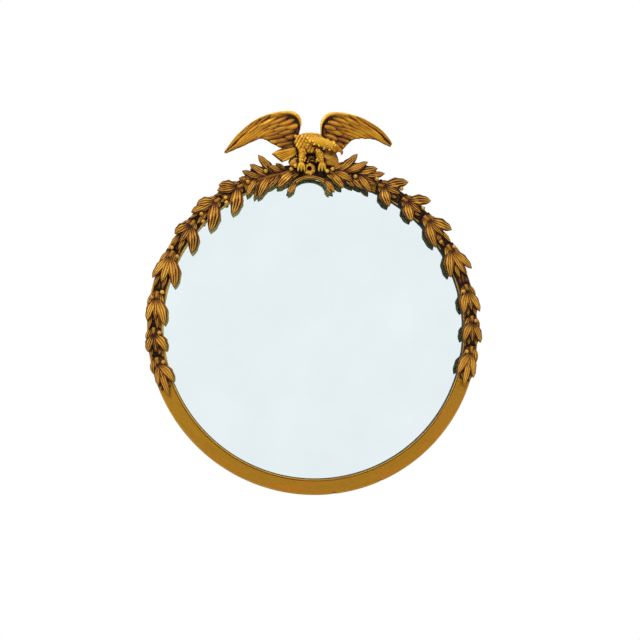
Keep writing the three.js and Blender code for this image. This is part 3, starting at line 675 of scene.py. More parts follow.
def feather_carve(s, t):
    a = np.abs(s)
    fade = float(smooth_step(1.0, 0.8, t))
    shaft = np.exp(-(a / 0.13) ** 2) * fade
    barb = 0.03 * np.sin(2 * math.pi * (13 * t - 2.2 * a)) * smooth_step(0.15, 0.35, a)
    rise = 1.5 * (1 - a ** 2.4) + 0.5 * shaft + barb
    foot = 0.16 * float(smooth_step(0.4, 0.0, t))
    # painted shade: darker towards the edges and the foot, where feathers overlap
    return rise, 0.76 + 0.12 * shaft + 1.1 * barb - 0.5 * a ** 5 - foot


def scale_carve(s, t):
    a = np.abs(s)
    rise = 0.8 * (1 - a ** 2.2)
    # painted shade: darker towards the edges and the foot, where scales overlap
    return rise, 0.82 - 0.5 * a ** 4 - 0.5 * float(smooth_step(0.4, 0.0, t))


LEAF = blank("leaf_blank", laurel_outline, leaf_carve(1.5), 3.4)
BROAD = blank("broad_leaf_blank", lobed_outline, leaf_carve(2.0), 3.4)
FEATHER = blank("feather_blank", feather_outline(0.25, 0.2, 0.6, 2.0), feather_carve, 2.4, 26, 17)
SCALE = blank("scale_blank", feather_outline(0.3, 0.25, 0.45, 2.4), scale_carve, 1.2, 9, 9)


def set_blades(carving, kind, blades, ground=CLEAR, thick=1.0, rubbed=0.0, gold="leaf", **marks):
    """Blades are rows: base x, z; tip x, z; half width; heights at base, middle, tip; sideways bow.

    A shift added to their relief mark darkens the eagle's wing and tail feathers: painted shade that
    keeps them darker than the forward body.
    """
    rows = np.array(blades, float)
    if not len(rows):
        return
    base, run, half, bow = rows[:, :2], rows[:, 2:4] - rows[:, :2], rows[:, 4], rows[:, 8:]
    length = np.hypot(*run.T)
    across = xyz(-run[:, 1], 0, run[:, 0]) / length[:, None]
    start, middle, end = (xyz(0, -rows[:, k], 0) for k in (5, 6, 7))
    rng = np.random.default_rng(len(rows) * 31 + int(abs(base[0, 0])))
    seats = seat_cloud(
        xyz(base[:, 0], FACE_Y, base[:, 1]), turn=xyz(0, np.arctan2(-run[:, 1], run[:, 0]), 0),
        size=xyz(length * MM, thick, half * MM), bend_start=start * MM,
        bend_middle=(middle + across * 2 * bow) * MM, bend_end=end * MM, tone=rng.random(len(rows)))
    made = grow(BLADES, seats, Blank=kind, Ground=(FACE_Y - ground) * MM, Finish=finish[gold])
    carving.take_mesh(made, **marks)
    carving.marks["relief"][-1] = carving.marks["relief"][-1] + rubbed


def set_berries(carving, places, r):
    """Places are (x, z, h)."""
    seats = seat_cloud(out_of_face(*np.array(places, float).T))
    carving.take_mesh(grow(BERRIES, seats, Radius=r * MM, Finish=finish["leaf"]), relief=1.05)


def set_twigs(carving, lines, sides=12, **marks):
    """Lines are (points, radii), the points as x, y, z."""
    points, radii, edges = [], [], []
    for line, r in lines:
        first = len(points)
        points += [tuple(p) for p in line]
        radii += list(np.broadcast_to(r, len(line)))
        edges += [(first + i, first + i + 1) for i in range(len(line) - 1)]
    seats = seat_cloud(points, edges, thickness=np.array(radii) * MM)
    carving.take_mesh(grow(TWIGS, seats, Sides=sides, Finish=finish["leaf"]), **marks)


carved = []   # pieces that wait for their cavity mark of painted shade: name, CAD node, carving, gold


# ---- ring, plate and board ----
def chips(x, z):
    """Depth of the two losses on the ring's outer edge."""
    worn = np.zeros_like(x)
    for angle, half in ((177.2, 4.2), (160.3, 3.0)):
        cx, cz = on_ring(angle, OUTER_R)
        worn = np.maximum(worn, np.clip(1.25 - np.hypot((x - cx) / half, (z - cz) / 3.2), 0, 1))
    return worn


def frame_ring():
    """Turned ring: rebate, sight wall, bead, quirk, plain band and rounded edge."""
    bead = [(300.9 + 1.9 * math.cos(a), FACE_Y + 2.3 - 1.9 * math.sin(a))
            for a in np.linspace(math.pi, 0.35, 9)]
    quirk = [(302.9, FACE_Y + 1.8), (303.5, FACE_Y + 1.7), (304.1, FACE_Y + 0.5)]
    band = [(r, FACE_Y) for r in (304.5, 305.5, 309, 314, 319, 324, 326.5)]
    edge = [(327 + 3 * math.sin(a), FACE_Y + 3 - 3 * math.cos(a))
            for a in np.linspace(0, math.pi / 2, 7)]
    side = [(OUTER_R, y) for y in (-20.5, -17, -12, -8)] + [(329.4, BACK_Y)]
    back = [(325, BACK_Y), (316, BACK_Y), (309.4, BACK_Y), (REBATE_R, BACK_Y - 0.5),
            (REBATE_R, REBATE_Y), (299.3, REBATE_Y)]
    wall = [(SIGHT_R, REBATE_Y - 0.4), (SIGHT_R, -21), (SIGHT_R, -22)]
    # each stretch of the outline with its relief and how far it is gilt; the bead's high relief is a
    # painted highlight
    rows = [(bead, 0.85, 1.0), (quirk, 0.12, 1.0), (band, 0.5, 1.0), (edge, 0.66, 1.0),
            (side, 0.42, 0.62), (back, 0.5, 0.0), (wall, 0.4, 0.0)]
    r, y, relief, gilt = np.array([(*p, *marks) for points, *marks in rows for p in points]).T
    gilt[:5] = 0.0, 0.0, 0.0, 0.1, 0.6   # the glass side of the bead is in ground paint, as the wall is
    steps = 480
    a = circle(steps)
    x, z = r * np.sin(a)[:, None], r * np.cos(a)[:, None]
    loss = chips(x, z) * (y < FACE_Y + 8)
    shrink = 1 - 0.9 * loss / OUTER_R
    first = len(bead + quirk + band + edge + side) - 1
    slots = [int(first <= j < first + len(back)) for _ in range(steps) for j in range(len(r))]
    # painted light: the ring's ungilded walls pale olive on its left side, dark elsewhere
    olive = smooth_step(-0.1, -0.5, np.sin(a)) * smooth_step(-0.5, -0.1, np.cos(a))
    work = Carving().skin(xyz(x * shrink, y + 1.4 * loss * (r > 326.9), z * shrink), endless=True,
                          slot=slots, relief=relief, gilding=gilt, chip=np.clip(loss * 2, 0, 1),
                          olive=olive[:, None])
    mesh = show("ring_turning", work, ("band", "pine"), "mirror", ["frame_ring"]).data
    # the map: faces that close the ring or its outline run on past the last step or point
    over = np.append(0, np.cumsum(np.hypot(np.diff(r), np.diff(y))))
    corners = np.zeros(len(mesh.loops), int)
    mesh.loops.foreach_get("vertex_index", corners)
    step, place = (part.reshape(-1, 4) for part in np.divmod(corners, len(r)))
    closes = (np.ptp(step, axis=1) > steps / 2)[:, None] & (step == 0)
    along = (step + closes * steps) / steps * TURN * 0.315
    closes = (np.ptp(place, axis=1) > len(r) / 2)[:, None] & (place == 0)
    reach = (over[place] + closes * (over[-1] + 1)) * MM
    uv = np.stack([along.ravel(), reach.ravel()], axis=1).astype(np.float32)
    mesh.uv_layers.new(name="round_the_ring").data.foreach_set("uv", uv.ravel())


def disc(name, r, y_front, y_back, edge, material, node):
    """Round plate with eased edges."""
    a = circle(256)
    front = [(r * 0.35, y_front), (r * 0.8, y_front), (r - edge, y_front), (r, y_front + edge)]
    back = [(r, y_back - edge), (r - edge, y_back), (r * 0.8, y_back), (r * 0.35, y_back)]
    rings = [xyz(radius * np.sin(a), y, radius * np.cos(a)) for radius, y in front + back]
    show(name, Carving().skin(rings), (material,), "mirror", [node], smooth=False)


frame_ring()
PLATE_Y, GLASS_T = REBATE_Y + CLEAR, 4
disc("silvered_plate", PLATE_R, PLATE_Y, PLATE_Y + GLASS_T, 0.4, "plate", "mirror_plate")
disc("plywood_board", PLATE_R - 0.2, -15.1, -7.3, 0.6, "board", "backboard")


# ---- garland ----
# each spray: where its stem starts; inner, outer and middle leaves as [tip angle, how far the tip
# lies out from the stem's circle, half width, bow]; berries as [angle, how far out]
LEFT_SPRAYS = [
    (26.6, [[35.2, -42, 11, 3]], [[33.1, 22, 8, 2], [34.6, 15, 7, 1]], [], [[33.6, -6], [34.4, -15]]),
    (36.4, [[46.8, -37, 11, 3]], [[43.1, 19, 8, 2], [46.4, 15, 7, 1]], [], [[44.2, -1], [45.8, -14]]),
    (48.6, [[58.6, -35, 10, 4]], [[55.6, 14, 8, 2]], [[57, -4, 7, 0]], [[60.2, 5], [62.2, -13]]),
    (61.9, [[73.8, -30, 10, 4]], [[72.4, 16, 8, 2]], [[73, -3, 8, 0]], [[76.4, -9]]),
    (77.4, [[88.5, -21, 9, 3]], [[87, 12, 8, 2]], [[86.4, -3, 6, 0]], [[78.8, 8]]),
    (90.2, [[98.1, -21, 9, 3]], [[97.4, 14, 8, 2]], [[97.6, -2, 6, 0]], [[91.2, -11]]),
    (100.6, [[109.8, -19, 8, 3]], [[109.2, 11, 6, 1]], [[113.6, 0, 7, 0]], [[101.8, -11]]),
]
RIGHT_SPRAYS = [
    (26.9, [[33.8, -32, 10, 3]], [[35, 34, 9, 2]], [[34.6, 4, 7, 0]], [[34.2, 18]]),
    (37.3, [[44.8, -28, 10, 3]], [[44.9, 32, 9, 2]], [[45, -1, 7, 0]], [[44.6, 13]]),
    (47.8, [[59.2, -25, 9, 4]], [[57, 24, 9, 2]], [[57, 3, 6, 0]], [[58.4, -9]]),
    (61.6, [[72.6, -26, 9, 4]], [[72.1, 22, 9, 2]], [[73, 5, 7, 0]], [[62.4, 12]]),
    (77.8, [[87.6, -18, 9, 3]], [[87.4, 16.2, 8, 2]], [[86.6, 0, 6, 0]], [[79.2, -9]]),
    (89.6, [[98.6, -19, 8, 3]], [[98.4, 16, 8, 2]], [[98.2, -1, 6, 0]], [[90.6, 10]]),
    (100.9, [[111.4, -19, 8, 3]], [[111, 14, 7, 1]], [[115.2, 1, 7, 0]], [[102.2, -10]]),
]


def arc(side, first, last, r, count):
    """x and z of points along a circle round the mirror's middle."""
    return np.array([on_ring(side * a, r) for a in np.linspace(first, last, count)]).T


def rough_bed(work, side, start, end, half, top):
    """The dark, roughly cut ground between the leaves, over the ring's face."""
    rows, cols = 26, 23
    a, s = np.linspace(start, end, rows), np.linspace(-1, 1, cols)
    lean = 1 - 0.25 * np.linspace(0, 1, rows)
    x, z = np.stack([on_ring(side * (v + 0.5 * abs(w)), STEM_R - 1.5 + w * half * k)
                     for v, k in zip(a, lean) for w in s]).T.reshape(2, rows, cols)
    ends = np.minimum(1, np.minimum(np.arange(rows), np.arange(rows)[::-1]) / 2)[:, None]
    cuts = np.sin(11 * s + 0.6 * a[:, None])
    high = 0.1 + ends * (top * (1 - np.abs(s) ** 3) + 0.7 * cuts * (1 - np.abs(s)))
    back = out_of_face(x[:, [-1, 0]], z[:, [-1, 0]], 0.05)
    marks = np.concatenate([0.16 + 0.16 * cuts, np.full((rows, 2), 0.1)], axis=1)
    work.skin(np.concatenate([out_of_face(x, z, high), back], axis=1), relief=marks)


# the low leaves that fill a spray between its long ones: shares of its length at foot and tip, how
# far out, half width
FILL_LEAVES = ((-0.1, 0.5, 12, 6.5), (-0.1, 0.5, -12, 6.5), (0.2, 0.82, 5, 6), (0.5, 1.12, 9, 5),
               (0.5, 1.1, -7, 5))


def garland_spray(side, end, start, inner, outer, centre, berries):
    """One spray from its start to the end of its bed, in degrees from the top."""
    work = Carving()
    # painted light and shade: the ungilded undersides pale olive on the left, dark on the right
    olive = 1.0 if side < 0 else 0.15
    root = on_ring(side * (start + 1.2), STEM_R)
    reach = start + (max(row[0] for row in inner + outer) - start) * 0.55

    def leaves(kind, table, sign, heights, full=1.0, **more):
        blades = [(*root, *on_ring(side * a, STEM_R + out), w * full, *heights, sign * side * bow)
                  for a, out, w, bow in table]
        set_blades(work, kind, blades, olive=olive, **more)

    half = (14.5 if start < 70 else 11.5) * (1.1 if side > 0 else 1.0)
    rough_bed(work, side, start - 1.4, end, half, 2.6)
    leaves(LEAF, centre, 1, (5, 9, 7))
    leaves(BROAD, outer, 1, (5, 9, 10), 1.3 if start < 60 else 1.0)
    leaves(BROAD, inner, -1, (5, 10, 9), 1.15, thick=1.15)
    small = []
    for low, high, out, w in FILL_LEAVES:
        foot, tip = (side * (start + (inner[0][0] - start) * f) for f in (low, high))
        small.append((*on_ring(foot, STEM_R + 0.25 * out), *on_ring(tip, STEM_R + out), w,
                      3, 6.2, 4.6, side * (2 if out > 0 else -2)))
    set_blades(work, LEAF, small, olive=olive)
    stem = out_of_face(*arc(side, start - 1, reach + 3, STEM_R, 12), 3.6)
    set_twigs(work, [(stem, np.linspace(3.6, 2, 12))], relief=0.5)
    twigs, places = [], []
    for angle, out in berries:
        foot = np.array(on_ring(side * (min(max(angle, start + 0.6), reach - 0.6) - 1.5), STEM_R))
        berry = np.array(on_ring(side * angle, STEM_R + (out - 3 if out > 8 else out)))
        knots = out_of_face(*np.array([foot, (foot + berry) / 2, berry]).T, [3.0, 4.4, 5])
        twigs.append((curve_through(knots, 7), 1.3))
        places.append((*berry, 6.6))
    set_twigs(work, twigs, sides=8, relief=0.4)
    set_berries(work, places, 4.1)
    return work


for word, side, table in (("left", -1, LEFT_SPRAYS), ("right", 1, RIGHT_SPRAYS)):
    bed_ends = [spray[0] - 1.45 for spray in table[1:]] + [table[-1][1][0][0] + 0.6]
    for number, (spray, end) in enumerate(zip(table, bed_ends), 1):
        carved.append((f"{word}_garland_{number}", f"{word}_spray_{number}",
                       garland_spray(side, end, *spray), "leaf"))


# ---- crest leaves, arch, rosette, perch ----
# the crest is drawn from the top of the stem's circle, with h from the face of its block
def out_of_crest(x, z, h):
    return out_of_face(x, np.asarray(z, float) + STEM_R, np.asarray(h, float) + LEAF_H)


def crest_blades(carving, kind, blades, ground=LEAF_H, **more):
    """Sets blades that are drawn as the crest is."""
    shift = (0, STEM_R, 0, STEM_R, 0, LEAF_H, LEAF_H, LEAF_H, 0)
    set_blades(carving, kind, np.array(blades, float) + shift, ground, **more)


# the UNDER leaves close each cluster between its long tips
CREST_LEFT = [
    (-68, -12, -105, 28, 9, 3, 8, 8, 2), (-82, -15, -122, 9, 9, 3, 8, 7, 2),
    (-96, -19, -138, -4, 8, 3, 7, 6, 2), (-110, -21, -145, -19, 7, 3, 6, 4, 1),
    (-58, -7, -86, 4, 6, 5, 14, 11, 0), (-60, -12, -76, -33, 7, 3, 7, 5, -1),
    (-34, -7, -68, -38, 11, 4, 9, 5, -2), (-82, -14, -107, -59, 10, 3, 9, 6, -2),
    (-98, -18, -115, -60, 6, 3, 6, 3, -1), (-108, -19, -129, -55, 8, 3, 7, 4, -2),
]
CREST_RIGHT = [
    (52, -7, 98, 30, 9, 3, 9, 8, -3), (70, -8, 118, 12, 8, 5, 15, 11, -2),
    (88, -7, 138, -1, 11, 3, 8, 7, -2), (104, -13, 153, -11, 8, 3, 7, 5, -2),
    (94, -13, 121, -51, 9, 3, 9, 6, 2), (40, -9, 65, -41, 9, 3, 8, 5, 1),
    (48, -8, 86, -28, 10, 4, 9, 5, 2),
]
UNDER_LEFT = [
    (-50, -4, -70, 12, 7, 2, 5, 3.5, 1), (-66, -8, -96, 8, 7, 2, 6, 4, 1),
    (-88, -14, -122, 0, 7, 2, 5, 4, 1), (-104, -18, -134, -14, 6, 2, 5, 3, 1),
    (-46, -8, -62, -26, 7, 2, 6, 4, -1), (-62, -13, -88, -40, 8, 2, 6, 4, -1),
    (-76, -14, -96, -46, 7, 2, 5, 3, -1), (-96, -20, -122, -44, 7, 2, 5, 3, -1),
    (-22, -7, -46, -22, 6, 2, 6, 4, -1),
]
UNDER_RIGHT = [
    (44, -5, 72, 14, 8, 2, 6, 4, -1), (62, -7, 96, 12, 8, 2, 6, 4, -1),
    (84, -10, 116, 2, 8, 2, 6, 4, -1), (98, -13, 136, -12, 7, 2, 6, 4, -1),
    (60, -10, 88, -38, 8, 2, 6, 4, 1), (76, -12, 104, -42, 8, 2, 6, 4, 1),
    (92, -16, 132, -34, 8, 2, 6, 4, 1), (30, -8, 50, -24, 6, 2, 6, 4, 1),
    (108, -20, 138, -30, 7, 2, 5, 3, 1),
]
CREST_BERRIES_LEFT = [(-40, -3, 10), (-31, 4, 10), (-91, -7, 10), (-127, -28, 9)]
CREST_BERRIES_RIGHT = [(33, -7, 10), (44, -3, 10), (134, -24, 9), (90, -19, 11)]


def crest_leaves(side, table, under, berries):
    work = Carving()
    # painted light and shade: the ungilded undersides paler on the left than on the right
    olive = 0.8 if side < 0 else 0.3
    crest_blades(work, LEAF, under, olive=olive)
    crest_blades(work, BROAD, table, thick=1.15, olive=olive)
    stem = out_of_face(*arc(side, 6, 23, STEM_R - 5, 16), LEAF_H + 2.2)
    set_twigs(work, [(stem, np.linspace(5, 3.6, 16))], relief=0.35)
    set_berries(work, np.array(berries) + (0, STEM_R, LEAF_H), 4.2)
    return work


def crest_arch():
    """C-scroll moulding: two ridges with a groove between them, ending in leaves."""
    s = np.linspace(-1, 1, 15)
    ridge = 1.2 * np.exp(-((np.abs(s) - 0.42) / 0.2) ** 2) - 1.4 * np.exp(-(s / 0.18) ** 2)
    ridge -= 2.6 * np.abs(s) ** 5
    mark = np.append(0.55 + 0.32 * ridge / 1.2, [0.2] * 4)
    gilt = np.append(np.where(s < -0.9, 0.25, 1.0), [0.3, 0, 0, 0.2])
    rings = []
    for t in np.linspace(-1, 1, 90):
        across = np.append(s, [0.95, 0.5, -0.5, -0.95]) * (3.4 + 2.6 * t ** 2)
        lift, thick, turn = 4.5 + 1.4 * (1 - t ** 2), 5.5 + 3 * t ** 2, math.radians(84 * t)
        high = np.append(lift + ridge, [lift - thick] * 4)
        rings.append(out_of_crest(-2 + (42 + across) * math.sin(turn),
                                  -52 + (34.5 + across) * math.cos(turn), high))
    work = Carving().skin(np.array(rings), relief=mark, gilding=gilt, olive=0.5)
    ends = [(26, -25, 47, -50, 6, 6, 8, 5, 1), (-31, -28, -46, -52, 5.5, 5, 8, 5, 1),
            (33, -34, 38, -52, 4, 5, 7, 4, -1)]
    crest_blades(work, BROAD, ends, olive=0.7)
    # the block behind the moulding's middle
    rings = [out_of_crest([i - 17, 11 - i, 11 - i, i - 17], z, [i * 0.5, i * 0.5, 4.2 - i, 4.2 - i])
             for z, i in ((-17, 0.8), (-16, 0), (13, 0), (14, 0.8))]
    return work.skin(rings, relief=0.15)


ROSETTE = np.array([-3, -2])


def rosette():
    """Seven petals round a deep eye."""
    a = circle(56)
    # the marks stay low round its edge and in its eye: painted shade of the niche it sits in
    profile = ((8, 4.5, 0.2), (12.2, 5.4, 0.2), (12.4, 8, 0.35), (11, 9.6, 0.4), (8.4, 10, 0.6),
               (6.8, 11.2, 0.95), (5.6, 11.4, 0.9), (4.8, 9, 0.1), (4.2, 5.8, -0.2), (2, 5, -0.2))
    rings = []
    for r, h, _ in profile:
        wave = r * (1 + 0.05 * np.cos(7 * a))
        rings.append(out_of_crest(ROSETTE[0] + wave * np.cos(a), ROSETTE[1] + wave * np.sin(a), h))
    work = Carving().skin(np.array(rings), relief=np.array([mark for *_, mark in profile])[:, None])
    petals = []
    for b in TURN * (np.arange(7) + 0.5) / 7:
        way = np.array([math.cos(b), math.sin(b)])
        petals.append((*(ROSETTE + 5 * way), *(ROSETTE + 12.6 * way), 3.6, 8.5, 10.6, 8.0, 0))
    crest_blades(work, SCALE, petals)
    return work


def perch():
    """Rocky mound, with a niche of small radiating tongues between the eagle's feet."""
    outline = [(-40, 5), (-22, 8), (0, 14), (26, 9), (50, 5), (58, 12), (56, 27), (49, 38), (32, 41),
               (14, 34), (-10, 30), (-32, 26), (-44, 16), (-40, 5)]
    edge = curve_through(outline, 105)[:-1]
    middle = np.array([5.0, 17.0])
    rings, marks = [], []
    for f, h, mark in ((0.96, 0, 0.2), (1, 1, 0.25), (1, 4.2, 0.45), (0.97, 5.6, 0.6), (0.88, 7.4, 0.6),
                       (0.75, 8.6, 0.55), (0.55, 8.9, 0.5), (0.3, 9, 0.45), (0.1, 9, 0.45)):
        x, z = (middle + (edge - middle) * f).T
        rough = 0.8 * np.sin(x * 0.3 + 1.3 * np.sin(z * 0.4)) * np.sin(z * 0.5 + 0.4) * (h > 3)
        rings.append(out_of_crest(x, z, h + rough))
        # lifted brighter under the eagle's neck, to undo there the painted shade of the cavity mark
        marks.append(mark + 0.15 * rough + 0.9 * smooth_step(18, 26, z) * smooth_step(20, 28, x))
    bare = np.array([0.0, 0.2] + [1.0] * 7)[:, None]
    work = Carving().skin(np.array(rings), relief=np.array(marks), gilding=bare, olive=0.4)
    tongues = []
    for b in np.radians(np.linspace(-78, 78, 9)):
        x, z = math.sin(b), math.cos(b)
        tongues.append((2.5 + 5.5 * x, 10 + 7.5 * z, 2.5 + 12.5 * x, 10 + 17 * z, 1.7, 9, 11.5, 10, 0))
    crest_blades(work, SCALE, tongues)
    return work


def crest_core():
    """The block on the ring's face and its riser: gold in front, bare wood behind."""
    solid = bmesh.new()
    solid.from_mesh(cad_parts["crest_block"].data)
    bmesh.ops.remove_doubles(solid, verts=solid.verts, dist=1e-6)
    bmesh.ops.dissolve_limit(solid, angle_limit=math.radians(1), verts=solid.verts, edges=solid.edges)
    sharp = [e for e in solid.edges
             if len(e.link_faces) == 2 and e.calc_face_angle() > math.radians(35)]
    bmesh.ops.bevel(solid, geom=sharp, offset=0.6 * MM, segments=2, profile=0.5, affect="EDGES")
    bmesh.ops.triangulate(solid, faces=solid.faces)
    made = bpy.data.meshes.new("core")
    solid.to_mesh(made)
    solid.free()
    back = [1 if p.normal.y > 0.3 else 0 for p in made.polygons]
    return Carving().take_mesh(made, back, relief=0.2, gilding=0.9)


carved += [
    ("crest_leafage_left", "crest_leaves_left",
     crest_leaves(-1, CREST_LEFT, UNDER_LEFT, CREST_BERRIES_LEFT), "leaf"),
    ("crest_leafage_right", "crest_leaves_right",
     crest_leaves(1, CREST_RIGHT, UNDER_RIGHT, CREST_BERRIES_RIGHT), "leaf"),
    ("crest_scroll", "crest_arch", crest_arch(), "leaf"),
    ("crest_flower", "crest_rosette", rosette(), "leaf"),
    ("crest_rock", "crest_perch", perch(), "leaf"),
]


# ---- eagle ----
def tube(carving, knots, radii, count, sides, relief):
    """Round limb through the knots (x, z, h of the crest), its radius following the radii."""
    line = curve_through(out_of_crest(*np.array(knots, float).T), count)
    r = curve_through(np.array(radii, float)[:, None], count)
    along = np.gradient(line, axis=0)
    along /= np.linalg.norm(along, axis=1)[:, None]
    side = np.cross((0, 1, 0), along)
    side /= np.linalg.norm(side, axis=1)[:, None]
    up = np.cross(along, side)
    a = circle(sides)
    carving.skin(line[:, None] + side[:, None] * (r * np.cos(a))[..., None]
                 + up[:, None] * (r * np.sin(a))[..., None], relief=relief)


def ground_of(carving, reach=6):
    """Height map of a carving, for feathers that lie on it."""
    points = carving.cloud()
    low, high = points.min(0) - reach, points.max(0) + reach
    return HeightMap(low[[0, 2]], high[[0, 2]], 0).press(points).close(4)


def plumage(carving, ground, rows, half, length, lift):
    """Scale feathers on a carving, each (x, z of the crest, direction in degrees)."""
    blades = []
    for x, z, degrees in rows:
        dx, dz = math.cos(math.radians(degrees)), math.sin(math.radians(degrees))
        reach = np.array([0, 0.5, 1]) * length
        px, pz = x + dx * reach, z + STEM_R + dz * reach
        h = ground.at(px, pz)
        if h.min() >= LEAF_H:
            middle = 2 * h[1] - 0.5 * (h[0] + h[2])
            blades.append((px[0], pz[0], px[2], pz[2], half, h[0] - 0.7, middle + lift,
                           h[2] + lift * 0.7, 0))
    set_blades(carving, SCALE, blades, LEAF_H, gold="eagle")


def eagle_body():
    work = Carving()
    sections = [[28.5, 0, 12, 6], [32, 0, 19, 9], [39, 1, 26, 12], [48, 2, 29, 14],
                [57, 2, 28, 14], [64, 2, 24, 12], [69, 2, 19, 9], [71.5, 2, 11, 5]]
    a = circle(96)
    full = np.sign(np.sin(a)) * np.abs(np.sin(a)) ** 0.72
    work.skin([out_of_crest(x + wide * np.cos(a), z, 11 + deep * full)
               for z, x, wide, deep in curve_through(sections, 60)], relief=0.7)
    tube(work, [(-6, 54, 13), (0, 52, 15), (20, 48, 21), (38, 42, 23), (50, 37, 22)],
         [11, 13.6, 11.2, 8.8, 8], 50, 40, 0.62)
    ground = ground_of(work)
    breast = [(x, z, -112 + 0.8 * x) for k, z in enumerate(np.arange(66, 30, -5.6))
              for x in np.arange(-25 + 3.2 * (k % 2), 22, 6.4)]
    neck = [(6 + d - 0.1 * off, 51.5 - d * 0.32 + off, 160 + off * 2.0)
            for k, d in enumerate(np.arange(2, 46, 5.4))
            for off in np.arange(-10 + 2.6 * (k % 2), 11, 5.2)]
    plumage(work, ground, breast, 4.2, 10, 0.45)
    plumage(work, ground, neck, 3.2, 8, 0.1)
    # head, beak, brow
    tube(work, [(43, 38, 22), (48, 36.5, 22.6), (54, 34.5, 22.8), (58, 32, 23)],
         [7.4, 8.6, 7.8, 4.4], 24, 32, 0.38)
    tube(work, [(54, 34, 23), (60, 30.4, 24.4), (62.4, 25, 24.4), (60.6, 21, 23.6)],
         [5.4, 4.1, 2.6, 0.6], 30, 20, 0.4)
    tube(work, [(45, 41.5, 27.5), (51, 40, 29.2), (56.5, 36, 28.4)], [0.8, 1.5, 0.7], 14, 10, 0.85)
    eye = [out_of_crest(52 + r * np.cos(a[::6]), 35.6 + r * np.sin(a[::6]), h)
           for r, h in ((2.4, 27.5), (2.1, 30), (1.2, 30.8))]
    return work.skin(eye, relief=-0.3)


def eagle_leg(x, lean):
    work = Carving()
    line = [(x - lean * 0.6, 36, 17), (x - lean * 0.2, 25, 17), (x + lean * 0.3, 14, 16),
            (x + lean * 0.4, 9, 15)]
    tube(work, line, [7.2, 6.8, 4.9, 4.2], 30, 28, 0.62)
    rows = [(x + off - lean * 0.3, z, -90 + lean + off * 4)
            for k, z in enumerate(np.arange(35, 15, -4.6))
            for off in np.arange(-4 + 1.7 * (k % 2), 5, 3.4)]
    plumage(work, ground_of(work, 3), rows, 2.3, 7, 0.6)
    for spread in (-6.5, 0, 6.5):
        claw = [(x + lean * 0.4 + spread * share, z, h) for share, z, h in (
            (0, 10, 15), (0.5, 4, 16.6), (0.8, 0, 15.5), (1, -5, 12.6), (1.02, -8, 11.2))]
        tube(work, claw, [3.2, 3.3, 2.7, 1.9, 0.6], 26, 16, 0.7)
    return work


def eagle_tail():
    upper = np.array([(-22, 46), (-42, 45), (-60, 40), (-78, 30)], float)
    lower = np.array([(-22, 31), (-34, 25.5), (-46, 19), (-57, 12)], float)
    tops = curve_through([[9], [10.5], [11], [11]], 30)[:, 0]
    s = np.linspace(0.02, 0.98, 20)
    rings = []
    for up, low, top in zip(curve_through(upper, 30), curve_through(lower, 30), tops):
        x, z = (up + (low - up) * s[:, None]).T
        face = out_of_crest(x, z, top - 1 + 0.6 * np.sin(math.pi * s))
        rings.append(np.vstack([face, out_of_crest(x[::-6], z[::-6], top - 5.6)]))
    gilt = np.append(np.ones(20), [0.1] * (len(rings[0]) - 20))
    work = Carving().skin(rings, relief=0.35, gilding=gilt)
    blades = []
    for k, f in enumerate((0.08, 0.92, 0.25, 0.75, 0.42, 0.58)):
        root = upper[0] + (lower[0] - upper[0]) * (0.2 + 0.6 * f)
        end = root + (upper[3] + (lower[3] - upper[3]) * f - root) * 0.99
        blades.append((*root, *end, 3.9, 8.5, 11.5 + 0.15 * k, 11.3 + 0.1 * k, 0.6))
    # painted shade: the tail feathers darker than the forward body
    crest_blades(work, FEATHER, blades, thick=1.2, rubbed=-0.16, gold="eagle")
    return work


# stations of each wing from root to tip: x, z of its leading edge and of its trailing edge, their h
WING_LEFT = [
    (-22, 68, -30, 36, 7, 7), (-15, 92, -46, 34, 13, 8), (-20, 108, -60, 43, 18, 7),
    (-36, 117, -75, 51, 17, 5), (-60, 116, -90, 61, 15, 4), (-85, 111, -104, 65, 12, 3),
    (-110, 100, -120, 64, 9, 2), (-134, 82, -135, 53, 6, 1), (-152, 64, -149, 44, 3.5, 0),
    (-167, 44, -165, 37, 1.5, -0.5), (-172, 37, -171, 34, 0.5, -0.5),
]
WING_RIGHT = [
    (24, 69, 34.4, 33.4, 7.2, 7), (24, 92, 50, 32, 11, 8), (30, 105, 66, 37, 16, 7),
    (44, 114, 78, 49, 17, 6), (66, 115.5, 90, 60, 15, 4), (88, 113, 104, 64, 12, 3),
    (110, 107, 120, 64, 9, 2), (134, 95, 137, 63, 6, 1), (153, 81, 152, 58, 4, 0.5),
    (168, 63, 165, 50, 2, 0), (173, 54, 170, 48, 1, -0.5),
]
STEPS = 14   # cuts between two stations


